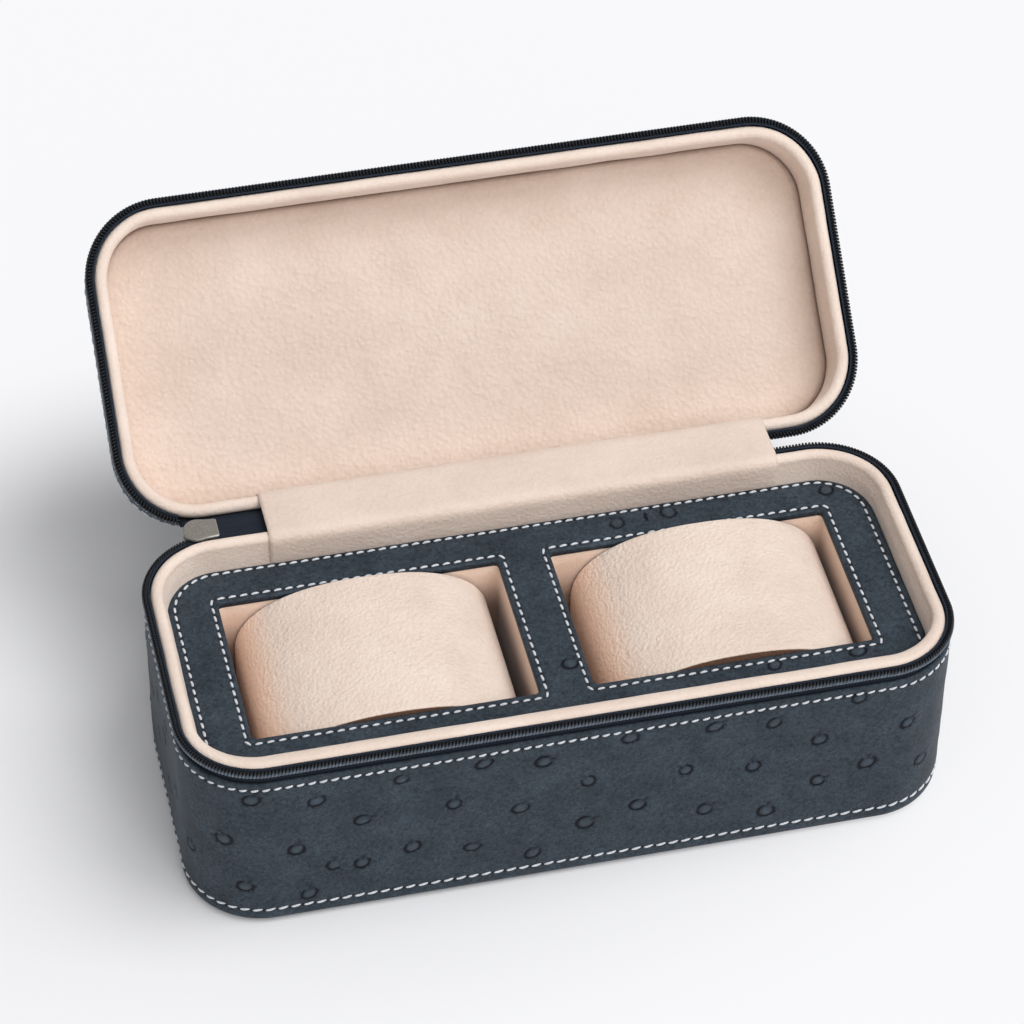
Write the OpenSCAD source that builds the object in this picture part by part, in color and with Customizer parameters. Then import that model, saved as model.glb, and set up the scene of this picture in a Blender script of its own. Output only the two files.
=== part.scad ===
// Zipped travel case for two watches, shown with its lid open.
// Millimetres, +Z up. The origin is on the table, under the middle of the base.
// +X runs along the case to its right end and +Y points to the hinge at the back.
// Base and lid are the same kind of shell: leather outside, greyboard, then suede.
// Each shell is described rim up, with its outer face at z = 0, and the lid is
// turned over, closed onto the base and then swung open about the hinge line.

/* [Case] */
// Outside length of the case
case_length = 210; // [180:1:240]
// Outside depth of the case, front to back
case_depth = 89.5; // [84:0.5:110]
// Height of the base, table to suede rim
base_height = 59.1; // [54:0.1:75]
// Height of the lid, suede rim to its outer face
lid_height = 24; // [20:0.5:35]
// Plan radius of the outer corners
corner_radius = 21.7; // [19:0.1:26]
// Radius of the outer bottom and top edges
edge_radius = 3; // [2:0.1:3.4]
// Gap between the two rims when the case is shut
rim_gap = 0.6; // [0.5:0.1:1.2]

/* [Layers] */
// Thickness of the outer leather
leather_t = 1.2; // [0.8:0.1:1.4]
// Thickness of the greyboard
board_t = 2; // [1.5:0.1:2.5]
// Thickness of the suede lining on the walls and floor
lining_t = 1; // [0.6:0.1:1.2]
// Thickness of the foam under the lid panel
lid_foam_t = 3.3; // [2:0.1:5]
// Width of leather turned in under the outer faces
turn_in = 10; // [8:0.5:14]
// Radius of the padded roll along each rim
rim_roll_r = 1.7; // [1.5:0.1:1.9]
// Distance from the leather's outer face to the rim roll
rim_roll_inset = 1.9; // [1.9:0.1:2.2]

/* [Zip] */
// Width of zip tape that shows between the rim and the leather
tape_show = 4.5; // [4.2:0.1:6]
// Width of zip tape sewn under the leather
tape_hidden = 7; // [5:0.5:10]
// Thickness of the zip tape and of the hinge spine
tape_t = 0.55; // [0.4:0.05:0.6]
// Radius of the zip's coil, as a bead
coil_r = 0.95; // [0.8:0.05:1.1]
// Height of the flat side of the coil, between its round top and bottom
coil_flat = 0.5; // [0.2:0.1:1]
// How far the coil stands above its rim
coil_proud = 0.1; // [0:0.05:0.15]
// Distance from the case's left end to where the two coil rows enter the slider
coil_end_left = 14; // [12:0.5:16]
// Distance from the case's right end to where the two coil rows stop at the back
coil_end_right = 33; // [31:0.5:40]

/* [Hinge] */
// Opening angle of the lid from shut
lid_angle = 137.3; // [100:0.1:150]
// Distance of the hinge line behind the back wall
hinge_back = 3; // [2.5:0.1:4]
// Depth of the hinge line below the base's rim
hinge_drop = 2.8; // [2:0.1:3.5]
// Distance from the case's left end to the suede gusset
gusset_end_left = 37; // [33:0.5:45]
// Distance from the case's right end to the suede gusset
gusset_end_right = 30; // [25:0.5:31]
// Thickness of the gusset
gusset_t = 0.7; // [0.5:0.05:0.8]
// Distance from each end of the gusset to the leather spine behind it
spine_inset = 4; // [3.5:0.5:8]

/* [Stitching] */
// Width of a row of thread
thread_w = 0.7; // [0.5:0.05:1]
// How far the thread stands proud of the leather
thread_proud = 0.3; // [0.2:0.05:0.4]
// Distance of the rim's row of stitches below the rim
rim_row_drop = 6.6; // [6:0.1:9]
// Distance of the other row of stitches from the outer face
edge_row_rise = 5.2; // [4:0.1:7]

/* [Insert] */
// Depth of the insert's top below the rim
insert_drop = 9.4; // [8.5:0.1:12]
// Gap between the insert and the lining all round
insert_gap = 1.1; // [1.05:0.05:2]
// Plan radius of the insert's corners
insert_corner_r = 15; // [12:0.5:16]
// Thickness of the insert's leather
insert_leather_t = 0.8; // [0.5:0.1:1]
// Thickness of the board under the insert's leather
insert_board_t = 1.2; // [1:0.1:2]
// Length of each watch window
window_length = 77; // [70:0.5:80]
// Depth of each watch window, front to back
window_depth = 49.6; // [45:0.1:54]
// Distance between the two windows' centres
window_spacing = 92; // [90:0.5:96]
// Distance of the windows' centres behind the middle of the case
window_back = 2; // [0:0.1:3]
// Radius of the windows' corners
window_corner_r = 1.2; // [1:0.1:3]
// Distance of the outer row of stitches from the insert's ends
insert_row_inset = 1.9; // [1.2:0.1:3]
// Distance of a window's row of stitches from its edge
window_row_out = 2; // [1.4:0.1:2.6]
// Thickness of the suede liner in each well
liner_t = 1; // [0.6:0.1:1.4]
// Thickness of the card skirt under the insert's edge
skirt_t = 1.5; // [1:0.1:2]

/* [Pillows] */
// Gap between each end of a pillow and its window, when it lies in the middle
pillow_side_gap = 3.2; // [2:0.1:4]
// How far the right pillow lies to the right of its window's middle
right_pillow_off = 2.6; // [-2.6:0.1:2.6]
// How far the left pillow lies to the right of its window's middle
left_pillow_off = 0.4; // [-2.6:0.1:2.6]
// Gap between a pillow and its well, front and back
pillow_depth_gap = 0.5; // [0.4:0.1:1.5]
// Height of a pillow's crown above the insert
pillow_crown = 2.8; // [1:0.1:6]
// Height of a pillow's arch above its straight sides
pillow_arch = 21.5; // [16:0.1:26]
// Roundness of a pillow's arch, 2 for an ellipse
pillow_power = 2.3; // [2:0.1:3]
// Radius of a pillow's bottom corners
pillow_foot_r = 8; // [4:0.5:12]
// Thickness of a pillow's suede
pillow_suede_t = 1; // [0.6:0.1:1.5]
// Gap under a pillow
pillow_floor_gap = 0.2; // [0.1:0.1:0.5]

/* [Slider] */
// Length of the slider along the zip
slider_length = 10.2; // [9:0.1:12]
// Width of the slider across the zip
slider_width = 7.8; // [7:0.1:8.4]
// Thickness of each of the slider's plates
slider_plate_t = 0.9; // [0.7:0.1:1.2]
// Gap between the slider and the end of the separate coil rows
slider_row_gap = 0.8; // [0.5:0.1:2]
// Radius of the slider's bar and of the tab's pin
pin_r = 0.6; // [0.5:0.05:0.8]
// Running clearance round the bar and the pin
pin_clearance = 0.06; // [0.03:0.01:0.1]
// Distance between the slider's bar and the tab's pin
link_length = 6; // [5:0.1:8]
// Length of the pull tab below its pin
tab_length = 20; // [15:0.5:26]
// Width of the pull tab
tab_width = 7; // [6.6:0.1:9]
// Thickness of the pull tab
tab_t = 1.2; // [0.8:0.1:1.6]

/* [Hidden] */
$fn = 48;

// Outline of the shells
half_x = case_length / 2;
half_y = case_depth / 2;
straight_x = half_x - corner_radius;
straight_y = half_y - corner_radius;

// Heights in a shell, from its outer face
board_top = leather_t + board_t;
parting_z = base_height + rim_gap / 2;
lid_top_z = base_height + rim_gap + lid_height;

// Layers of a wall, as insets from its outer face
board_inset = leather_t;
lining_inset = leather_t + board_t;
lining_face = lining_inset + lining_t;
roll_centre = rim_roll_inset + rim_roll_r;
tape_inset = leather_t;
tape_back = tape_inset + tape_t;
coil_centre = tape_inset - coil_r;
tape_top_drop = 0.2;
roll_grip = 1.4;

// Overlap of two joined solids, and how far a cutter runs past what it cuts
eps = 0.01;
over = 1;

// Ends of the coil rows, of the tape and of the gusset along the back
coil_gap_left = coil_end_left - half_x;
coil_gap_right = half_x - coil_end_right;
gusset_left = gusset_end_left - half_x;
gusset_right = half_x - gusset_end_right;

// The insert
insert_x = half_x - lining_face - insert_gap;
insert_y = half_y - lining_face - insert_gap;
insert_top = base_height - insert_drop;
insert_t = insert_leather_t + insert_board_t;
insert_bottom = insert_top - insert_t;
floor_z = board_top + lining_t;
skirt_inset = 0.4;
liner_clear = 0.4;
well_length = window_length + 2 * liner_clear;
well_depth = window_depth + 2 * liner_clear;
liner_top = insert_bottom;
row_shift = 0.6;
row_depth_inset = insert_row_inset - row_shift;

// A pillow
pillow_half = window_length / 2 - pillow_side_gap;
pillow_depth = window_depth - 2 * pillow_depth_gap;
pillow_bottom = floor_z + liner_t + pillow_floor_gap;
pillow_top = insert_top + pillow_crown;
pillow_shoulder = pillow_top - pillow_arch;
arch_steps = 28;

// The hinge line and how a point [y, z] of the shut lid moves when it opens
hinge_y = half_y + hinge_back;
hinge_z = base_height - hinge_drop;
function opened(p) = [
    hinge_y + (p[0] - hinge_y) * cos(lid_angle) + (p[1] - hinge_z) * sin(lid_angle),
    hinge_z - (p[0] - hinge_y) * sin(lid_angle) + (p[1] - hinge_z) * cos(lid_angle)
];
function mirrored_z(z) = 2 * parting_z - z;

// The joined end of the zip lies on the line between the two coil rows
base_row = [half_y - coil_centre, base_height + coil_proud - coil_r];
lid_row = opened([base_row[0], mirrored_z(base_row[1])]);
chain_mid = (base_row + lid_row) / 2;
chain_tilt = atan2(lid_row[1] - base_row[1], lid_row[0] - base_row[0]);
chain_coil_w = 3;
chain_coil_t = 1.2;
chain_slot = 0.5;
chain_end_gap = 1;
stop_length = 1.6;
slider_left = coil_gap_left + slider_row_gap;
slider_right = slider_left + slider_length;
slider_mid = (slider_left + slider_right) / 2;
spine_left = gusset_left + spine_inset;
spine_right = gusset_right - spine_inset;
chain_right = spine_left - chain_end_gap;
neck_length = 3;
neck_w = 2;
neck_inset = 0.4;
neck_gap = 0.4;
flange_w = 0.8;
flange_short = 0.6;
inner_plate_z = tape_t / 2 + chain_slot;
outer_plate_z = -tape_t / 2 - chain_coil_t - chain_slot;
bar_drop = 1.7;
bar_span = 3.6;
post_t = 1.1;
bar_z = outer_plate_z - slider_plate_t - bar_drop;
bar_at = chain_mid + bar_z * [-sin(chain_tilt), cos(chain_tilt)];
eye_wall = 1;
eye_r = pin_r + eye_wall;
link_side_gap = 0.3;
link_w = bar_span - 2 * link_side_gap;
link_t = 1.6;
ear_gap = 0.15;
ear_w = (tab_width - link_w) / 2 - ear_gap;
tab_pin_z = bar_at[1] - link_length;
tab_tip_r = 2.4;
tab_root_drop = eye_r + 0.5;

// The gusset's and the spine's paths, as points [y, z] on their middle line
gusset_clear = 0.2;
gusset_face = lining_face + gusset_clear + gusset_t / 2;
gusset_bend = rim_roll_r + gusset_clear + gusset_t / 2;
gusset_tuck = 4;
gusset_run = 4.2;
roll_z = base_height - rim_roll_r;
base_roll = [half_y - roll_centre, roll_z];
lid_roll = opened([base_roll[0], mirrored_z(roll_z)]);
panel_z = leather_t + board_t + lid_foam_t + lining_t;
tilt_back = lid_angle - 180;
arc_step = 11.25;
function on_circle(centre, r, a) = centre + r * [cos(a), sin(a)];
gusset_path = concat(
    [
        [half_y - gusset_face, insert_top - gusset_tuck],
        [half_y - gusset_face, roll_z - gusset_run]
    ],
    [for (a = [180:-arc_step:90]) on_circle(base_roll, gusset_bend, a)],
    [for (a = [90:-arc_step:-tilt_back]) on_circle(lid_roll, gusset_bend, a)],
    [
        opened([half_y - gusset_face, mirrored_z(roll_z - gusset_run)]),
        opened([half_y - gusset_face, lid_top_z - panel_z - gusset_clear])
    ]
);

spine_face = tape_inset + tape_t / 2;
spine_out = 0.9;
spine_lift = 0.5;
spine_exit = base_height - tape_show + spine_out;
spine_low = base_height - tape_show - tape_hidden + spine_lift;
spine_pull = 3;
spine_steps = 12;
spine_start = [half_y - spine_face, spine_exit];
spine_end = opened([half_y - spine_face, mirrored_z(spine_exit)]);
spine_pull_1 = spine_start + [0, spine_pull];
spine_pull_2 = spine_end - spine_pull * [sin(lid_angle), cos(lid_angle)];
function bezier(a, b, c, d, t) =
    pow(1 - t, 3) * a + 3 * t * pow(1 - t, 2) * b + 3 * t * t * (1 - t) * c + pow(t, 3) * d;
spine_path = concat(
    [[half_y - spine_face, spine_low]],
    [
        for (i = [0:spine_steps])
            bezier(spine_start, spine_pull_1, spine_pull_2, spine_end, i / spine_steps)
    ],
    [opened([half_y - spine_face, mirrored_z(spine_low)])]
);

suede = "#EBD7C8";
navy = "#3C4652";
zip_black = "#1E2329";
thread_white = "#E4E7EA";
greyboard = "#8F877B";
foam_grey = "#C9C6BE";
zinc = "#A09B95";

// ---- Shared shapes ----

// A rectangle with round corners, centred, of half sizes hx and hy
module rounded_rect(hx, hy, r) {
    square([2 * hx - 2 * r, 2 * hy], center = true);
    square([2 * hx, 2 * hy - 2 * r], center = true);
    for (sx = [-1, 1], sy = [-1, 1])
        translate([sx * (hx - r), sy * (hy - r)])
            circle(r);
}

// The case's outline, moved in from its outer face
module outline(inset) {
    rounded_rect(half_x - inset, half_y - inset, corner_radius - inset);
}

module plate(inset, low, high) {
    translate([0, 0, low])
        linear_extrude(high - low)
            outline(inset);
}

module wall(inset, depth, low, high) {
    translate([0, 0, low])
        linear_extrude(high - low)
            difference() {
                outline(inset);
                outline(inset + depth);
            }
}

// Carries a profile round the case's outline. x = 0 in the profile is the outer
// face, with the inside of the case at negative x, and y is the height.
module around_case() {
    for (side = [0:3]) {
        across = side % 2 == 0 ? half_x : half_y;
        along = side % 2 == 0 ? straight_y : straight_x;
        corner = side % 2 == 0 ? [straight_x, straight_y] : [straight_y, straight_x];
        rotate([0, 0, 90 * side]) {
            translate([across, along, 0])
                rotate([90, 0, 0])
                    linear_extrude(2 * along)
                        children();
            translate([corner[0], corner[1], 0])
                rotate_extrude(angle = 90)
                    translate([corner_radius, 0])
                        children();
        }
    }
}

// A strip of even thickness along a path of points [y, z], from x0 to x1
module strip(path, thickness, x0, x1) {
    last = len(path) - 1;
    ways = [
        for (i = [0:last])
            let (d = path[min(i + 1, last)] - path[max(i - 1, 0)])
                [-d[1], d[0]] / norm(d)
    ];
    above = [for (i = [0:last]) path[i] + ways[i] * thickness / 2];
    below = [for (i = [last:-1:0]) path[i] - ways[i] * thickness / 2];
    translate([x0, 0, 0])
        rotate([90, 0, 90])
            linear_extrude(x1 - x0)
                polygon(concat(above, below));
}

// The stretch at the back where the coil rows or the tape are left out
module back_gap(x0, x1, low, high) {
    translate([x0, straight_y, low])
        cube([x1 - x0, corner_radius + coil_r, high - low]);
}

// Puts a shell that is drawn rim up onto the base, upside down, and swings it open
module lid_place() {
    translate([0, hinge_y, hinge_z])
        rotate([-lid_angle, 0, 0])
            translate([0, -hinge_y, lid_top_z - hinge_z])
                mirror([0, 0, 1])
                    children();
}

// ---- Parts of a shell, rim up ----

module shell_leather_band(height) {
    around_case() {
        translate([-leather_t, edge_radius])
            square([leather_t, height - tape_show - edge_radius]);
        translate([-turn_in, 0])
            square([turn_in - edge_radius, leather_t]);
        difference() {
            intersection() {
                translate([-edge_radius, edge_radius])
                    circle(edge_radius);
                translate([-edge_radius, 0])
                    square(edge_radius);
            }
            translate([-edge_radius - over, leather_t])
                square([edge_radius + over - leather_t, edge_radius]);
        }
    }
}

module shell_leather_panel() {
    plate(turn_in, 0, leather_t);
}

module shell_floor_board() {
    plate(board_inset, leather_t, board_top);
}

// The wall board is rebated outside, near the rim, for the tape and the spine
module shell_wall_board(height) {
    board_rim = height - 2 * rim_roll_r + roll_grip;
    rebate_low = height - tape_show - tape_hidden;
    wall(board_inset, board_t, board_top, rebate_low);
    wall(tape_back, lining_inset - tape_back, rebate_low, board_rim);
}

module shell_lining(height) {
    board_rim = height - 2 * rim_roll_r + roll_grip;
    around_case() {
        translate([-lining_face, board_top])
            square([lining_t, height - rim_roll_r - board_top]);
        difference() {
            translate([-roll_centre, height - rim_roll_r])
                circle(rim_roll_r);
            translate([-lining_inset, board_rim - 2 * rim_roll_r])
                square(2 * rim_roll_r);
        }
    }
}

module shell_zip_tape(height) {
    difference() {
        wall(tape_inset, tape_t, height - tape_show - tape_hidden, height - tape_top_drop);
        back_gap(coil_gap_left, coil_gap_right, 0, height + over);
    }
}

module shell_zip_coil(height) {
    difference() {
        around_case() {
            for (drop = [0, coil_flat])
                translate([-coil_centre, height + coil_proud - coil_r - drop])
                    circle(coil_r);
            translate([-coil_centre - coil_r, height + coil_proud - coil_r - coil_flat])
                square([2 * coil_r, coil_flat]);
        }
        back_gap(coil_gap_left, coil_gap_right, 0, height + over);
    }
}

module shell_stitching(z) {
    wall(-thread_proud, thread_proud, z - thread_w / 2, z + thread_w / 2);
}

// ---- Base ----

module base_bottom_board() {
    color(greyboard) shell_floor_board();
}

module base_wall_board() {
    color(greyboard) shell_wall_board(base_height);
}

module base_leather_band() {
    color(navy) shell_leather_band(base_height);
}

module base_leather_bottom() {
    color(navy) shell_leather_panel();
}

module base_lining_wall() {
    color(suede) shell_lining(base_height);
}

module base_lining_floor() {
    color(suede) plate(lining_face, board_top, floor_z);
}

module base_zip_tape() {
    color(zip_black) shell_zip_tape(base_height);
}

module base_zip_coil() {
    color(zip_black) shell_zip_coil(base_height);
}

module base_rim_stitching() {
    color(thread_white) shell_stitching(base_height - rim_row_drop);
}

module base_edge_stitching() {
    color(thread_white) shell_stitching(edge_row_rise);
}

// ---- Insert ----

module insert_outline(inset) {
    rounded_rect(insert_x - inset, insert_y - inset, insert_corner_r - inset);
}

// Both windows, grown by a margin on every side
module windows(grow) {
    for (side = [-1, 1])
        translate([side * window_spacing / 2, window_back])
            rounded_rect(
                window_length / 2 + grow,
                window_depth / 2 + grow,
                window_corner_r + max(grow, 0)
            );
}

module insert_skirt() {
    color(greyboard)
        translate([0, 0, floor_z])
            linear_extrude(insert_bottom - floor_z)
                difference() {
                    insert_outline(skirt_inset);
                    insert_outline(skirt_inset + skirt_t);
                }
}

module insert_board() {
    color(greyboard)
        translate([0, 0, insert_bottom])
            linear_extrude(insert_board_t)
                difference() {
                    insert_outline(insert_leather_t);
                    windows(insert_leather_t);
                }
}

// The leather covers the board's top and is turned down over its edges
module insert_leather() {
    color(navy)
        difference() {
            translate([0, 0, insert_bottom])
                linear_extrude(insert_t)
                    difference() {
                        insert_outline(0);
                        windows(0);
                    }
            translate([0, 0, insert_bottom - over])
                linear_extrude(insert_board_t + over)
                    difference() {
                        insert_outline(insert_leather_t);
                        windows(insert_leather_t);
                    }
        }
}

module insert_edge_stitching() {
    row_y = insert_y - row_depth_inset;
    row_x = insert_x - insert_row_inset;
    row_r = insert_corner_r - insert_row_inset;
    color(thread_white)
        translate([0, 0, insert_top])
            linear_extrude(thread_proud)
                difference() {
                    rounded_rect(row_x + thread_w / 2, row_y + thread_w / 2, row_r + thread_w / 2);
                    rounded_rect(row_x - thread_w / 2, row_y - thread_w / 2, row_r - thread_w / 2);
                }
}

module insert_window_stitching() {
    color(thread_white)
        translate([0, 0, insert_top])
            linear_extrude(thread_proud)
                difference() {
                    windows(window_row_out + thread_w / 2);
                    windows(window_row_out - thread_w / 2);
                }
}

// An open box of suede-faced card that hangs under a window and stands on the floor
module well_liner(side) {
    color(suede)
        translate([side * window_spacing / 2, window_back, floor_z])
            difference() {
                linear_extrude(liner_top - floor_z)
                    rounded_rect(
                        well_length / 2 + liner_t,
                        well_depth / 2 + liner_t,
                        window_corner_r + liner_t
                    );
                translate([0, 0, liner_t])
                    linear_extrude(liner_top - floor_z)
                        rounded_rect(well_length / 2, well_depth / 2, window_corner_r);
            }
}

module left_well_liner() {
    well_liner(-1);
}

module right_well_liner() {
    well_liner(1);
}

// ---- Pillows ----

// A pillow seen from the front: a superellipse arch on straight sides, with
// round bottom corners, all moved in by an inset
module pillow_outline(inset) {
    w = pillow_half - inset;
    rise = pillow_arch - inset;
    foot = pillow_bottom + inset;
    foot_r = pillow_foot_r - inset;
    polygon(concat(
        [
            for (i = [0:arch_steps])
                let (a = 180 * i / arch_steps, c = cos(a), s = sin(a))
                    [
                        sign(c) * w * pow(abs(c), 2 / pillow_power),
                        pillow_shoulder + rise * pow(max(s, 0), 2 / pillow_power)
                    ]
        ],
        [
            [-w, foot + foot_r],
            [-w + foot_r, foot + foot_r],
            [-w + foot_r, foot],
            [w - foot_r, foot],
            [w - foot_r, foot + foot_r],
            [w, foot + foot_r]
        ]
    ));
    for (side = [-1, 1])
        translate([side * (w - foot_r), foot + foot_r])
            circle(foot_r);
}

module pillow_block(side, inset, y0, y1) {
    off = side > 0 ? right_pillow_off : left_pillow_off;
    translate([side * window_spacing / 2 + off, window_back + y1, 0])
        rotate([90, 0, 0])
            linear_extrude(y1 - y0)
                pillow_outline(inset);
}

module pillow_foam(side) {
    color(foam_grey)
        pillow_block(
            side,
            pillow_suede_t,
            -pillow_depth / 2 + pillow_suede_t,
            pillow_depth / 2 - pillow_suede_t
        );
}

// The suede is wrapped once round the foam and closed underneath
module pillow_wrap(side) {
    color(suede)
        difference() {
            pillow_block(side, 0, -pillow_depth / 2, pillow_depth / 2);
            pillow_block(
                side,
                pillow_suede_t,
                -pillow_depth / 2 - over,
                pillow_depth / 2 + over
            );
        }
}

module pillow_ends(side) {
    color(suede) {
        pillow_block(
            side,
            pillow_suede_t,
            -pillow_depth / 2,
            -pillow_depth / 2 + pillow_suede_t
        );
        pillow_block(
            side,
            pillow_suede_t,
            pillow_depth / 2 - pillow_suede_t,
            pillow_depth / 2
        );
    }
}

module left_pillow_foam() {
    pillow_foam(-1);
}

module left_pillow_wrap() {
    pillow_wrap(-1);
}

module left_pillow_ends() {
    pillow_ends(-1);
}

module right_pillow_foam() {
    pillow_foam(1);
}

module right_pillow_wrap() {
    pillow_wrap(1);
}

module right_pillow_ends() {
    pillow_ends(1);
}

// ---- Lid ----

module lid_top_board() {
    color(greyboard) lid_place() shell_floor_board();
}

module lid_wall_board() {
    color(greyboard) lid_place() shell_wall_board(lid_height);
}

module lid_leather_band() {
    color(navy) lid_place() shell_leather_band(lid_height);
}

module lid_leather_top() {
    color(navy) lid_place() shell_leather_panel();
}

module lid_foam() {
    color(foam_grey) lid_place() plate(lining_face, board_top, board_top + lid_foam_t);
}

module lid_lining_wall() {
    color(suede) lid_place() shell_lining(lid_height);
}

module lid_lining_panel() {
    color(suede) lid_place() plate(lining_face, board_top + lid_foam_t, panel_z);
}

module lid_zip_tape() {
    color(zip_black) lid_place() shell_zip_tape(lid_height);
}

module lid_zip_coil() {
    color(zip_black) lid_place() shell_zip_coil(lid_height);
}

module lid_rim_stitching() {
    color(thread_white) lid_place() shell_stitching(lid_height - rim_row_drop);
}

module lid_edge_stitching() {
    color(thread_white) lid_place() shell_stitching(edge_row_rise);
}

// ---- Hinge ----

// Leather strip sewn into both shells like the tape, bowed where it bends
module hinge_spine() {
    color(navy) strip(spine_path, tape_t - 2 * eps, spine_left, spine_right);
}

// Suede strip from behind the insert, over both rims and down to the lid's panel
module hinge_gusset() {
    color(suede) strip(gusset_path, gusset_t, gusset_left, gusset_right);
}

// ---- Zip's joined end, slider and pull ----

// Across the joined zip is local Y, and local Z points into the case
module chain_place() {
    translate([0, chain_mid[0], chain_mid[1]])
        rotate([chain_tilt, 0, 0])
            children();
}

module zip_joined_end() {
    start = slider_left + neck_inset + neck_length + neck_gap;
    tape_half = slider_width / 2;
    color(zip_black)
        chain_place() {
            translate([start, -tape_half, -tape_t / 2])
                cube([chain_right - start, 2 * tape_half, tape_t]);
            translate([start, -chain_coil_w / 2, -tape_t / 2 - chain_coil_t])
                cube([chain_right - stop_length - start, chain_coil_w, chain_coil_t]);
        }
}

module zip_bottom_stop() {
    color(zinc)
        chain_place()
            translate([chain_right - stop_length, -chain_coil_w / 2, -tape_t / 2 - chain_coil_t])
                cube([stop_length, chain_coil_w, chain_coil_t]);
}

// Shield-shaped plate of the slider, round at the end that parts the coils
module slider_plate() {
    nose_r = slider_width / 2;
    translate([slider_left + nose_r, 0])
        circle(nose_r);
    translate([slider_left + nose_r, -nose_r])
        square([slider_length - nose_r, slider_width]);
}

module slider_body() {
    color(zinc)
        chain_place() {
            translate([0, 0, inner_plate_z])
                linear_extrude(slider_plate_t)
                    slider_plate();
            translate([0, 0, outer_plate_z - slider_plate_t])
                linear_extrude(slider_plate_t)
                    slider_plate();
            translate([slider_left + neck_inset, -neck_w / 2, outer_plate_z - eps])
                cube([neck_length, neck_w, inner_plate_z - outer_plate_z + 2 * eps]);
            for (side = [-1, 1])
                translate([
                    slider_mid,
                    side * (slider_width - flange_w) / 2 - flange_w / 2,
                    outer_plate_z - eps
                ])
                    cube([slider_right - slider_mid, flange_w, -outer_plate_z - flange_short]);
            for (side = [-1, 1])
                translate([slider_mid + side * (bar_span + post_t) / 2, 0, 0])
                    translate([-post_t / 2, -pin_r, bar_z - pin_r])
                        cube([post_t, 2 * pin_r, outer_plate_z - slider_plate_t - bar_z + pin_r + eps]);
            translate([slider_mid - bar_span / 2 - post_t, 0, bar_z])
                rotate([0, 90, 0])
                    cylinder(h = bar_span + 2 * post_t, r = pin_r);
        }
}

// A link hangs from the slider's bar and carries the tab's pin
module pull_link() {
    color(zinc)
        translate([slider_mid - link_w / 2, bar_at[0], bar_at[1]])
            rotate([90, 0, 90])
                linear_extrude(link_w)
                    difference() {
                        union() {
                            circle(eye_r);
                            translate([0, -link_length])
                                circle(eye_r);
                            translate([-link_t / 2, -link_length])
                                square([link_t, link_length]);
                        }
                        circle(pin_r + pin_clearance);
                        translate([0, -link_length])
                            circle(pin_r + pin_clearance);
                    }
}

module tab_pin() {
    color(zinc)
        translate([slider_mid - tab_width / 2, bar_at[0], tab_pin_z])
            rotate([0, 90, 0])
                cylinder(h = tab_width, r = pin_r);
}

module pull_tab() {
    color(zinc)
        difference() {
            union() {
                for (side = [-1, 1])
                    translate([
                        slider_mid + side * (tab_width - ear_w) / 2 - ear_w / 2,
                        bar_at[0],
                        tab_pin_z
                    ])
                        rotate([0, 90, 0]) {
                            cylinder(h = ear_w, r = eye_r);
                            translate([0, -tab_t / 2, 0])
                                cube([tab_root_drop + over, tab_t, ear_w]);
                        }
                translate([slider_mid, bar_at[0] + tab_t / 2, tab_pin_z - tab_length])
                    rotate([90, 0, 0])
                        linear_extrude(tab_t) {
                            translate([0, (tab_length - tab_root_drop + tab_tip_r) / 2])
                                square(
                                    [tab_width, tab_length - tab_root_drop - tab_tip_r],
                                    center = true
                                );
                            for (side = [-1, 1])
                                translate([side * (tab_width / 2 - tab_tip_r), tab_tip_r])
                                    circle(tab_tip_r);
                            translate([0, tab_tip_r])
                                square([tab_width - 2 * tab_tip_r, 2 * tab_tip_r], center = true);
                        }
            }
            translate([slider_mid - tab_width, bar_at[0], tab_pin_z])
                rotate([0, 90, 0])
                    cylinder(h = 2 * tab_width, r = pin_r);
        }
}

base_bottom_board();
base_wall_board();
base_leather_band();
base_leather_bottom();
base_lining_wall();
base_lining_floor();
base_zip_tape();
base_zip_coil();
base_rim_stitching();
base_edge_stitching();
insert_skirt();
insert_board();
insert_leather();
insert_edge_stitching();
insert_window_stitching();
left_well_liner();
right_well_liner();
left_pillow_foam();
left_pillow_wrap();
left_pillow_ends();
right_pillow_foam();
right_pillow_wrap();
right_pillow_ends();
lid_top_board();
lid_wall_board();
lid_leather_band();
lid_leather_top();
lid_foam();
lid_lining_wall();
lid_lining_panel();
lid_zip_tape();
lid_zip_coil();
lid_rim_stitching();
lid_edge_stitching();
hinge_spine();
hinge_gusset();
zip_joined_end();
zip_bottom_stop();
slider_body();
pull_link();
tab_pin();
pull_tab();
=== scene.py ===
import math

import bpy
import numpy as np
from mathutils import Matrix, Vector


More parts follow.
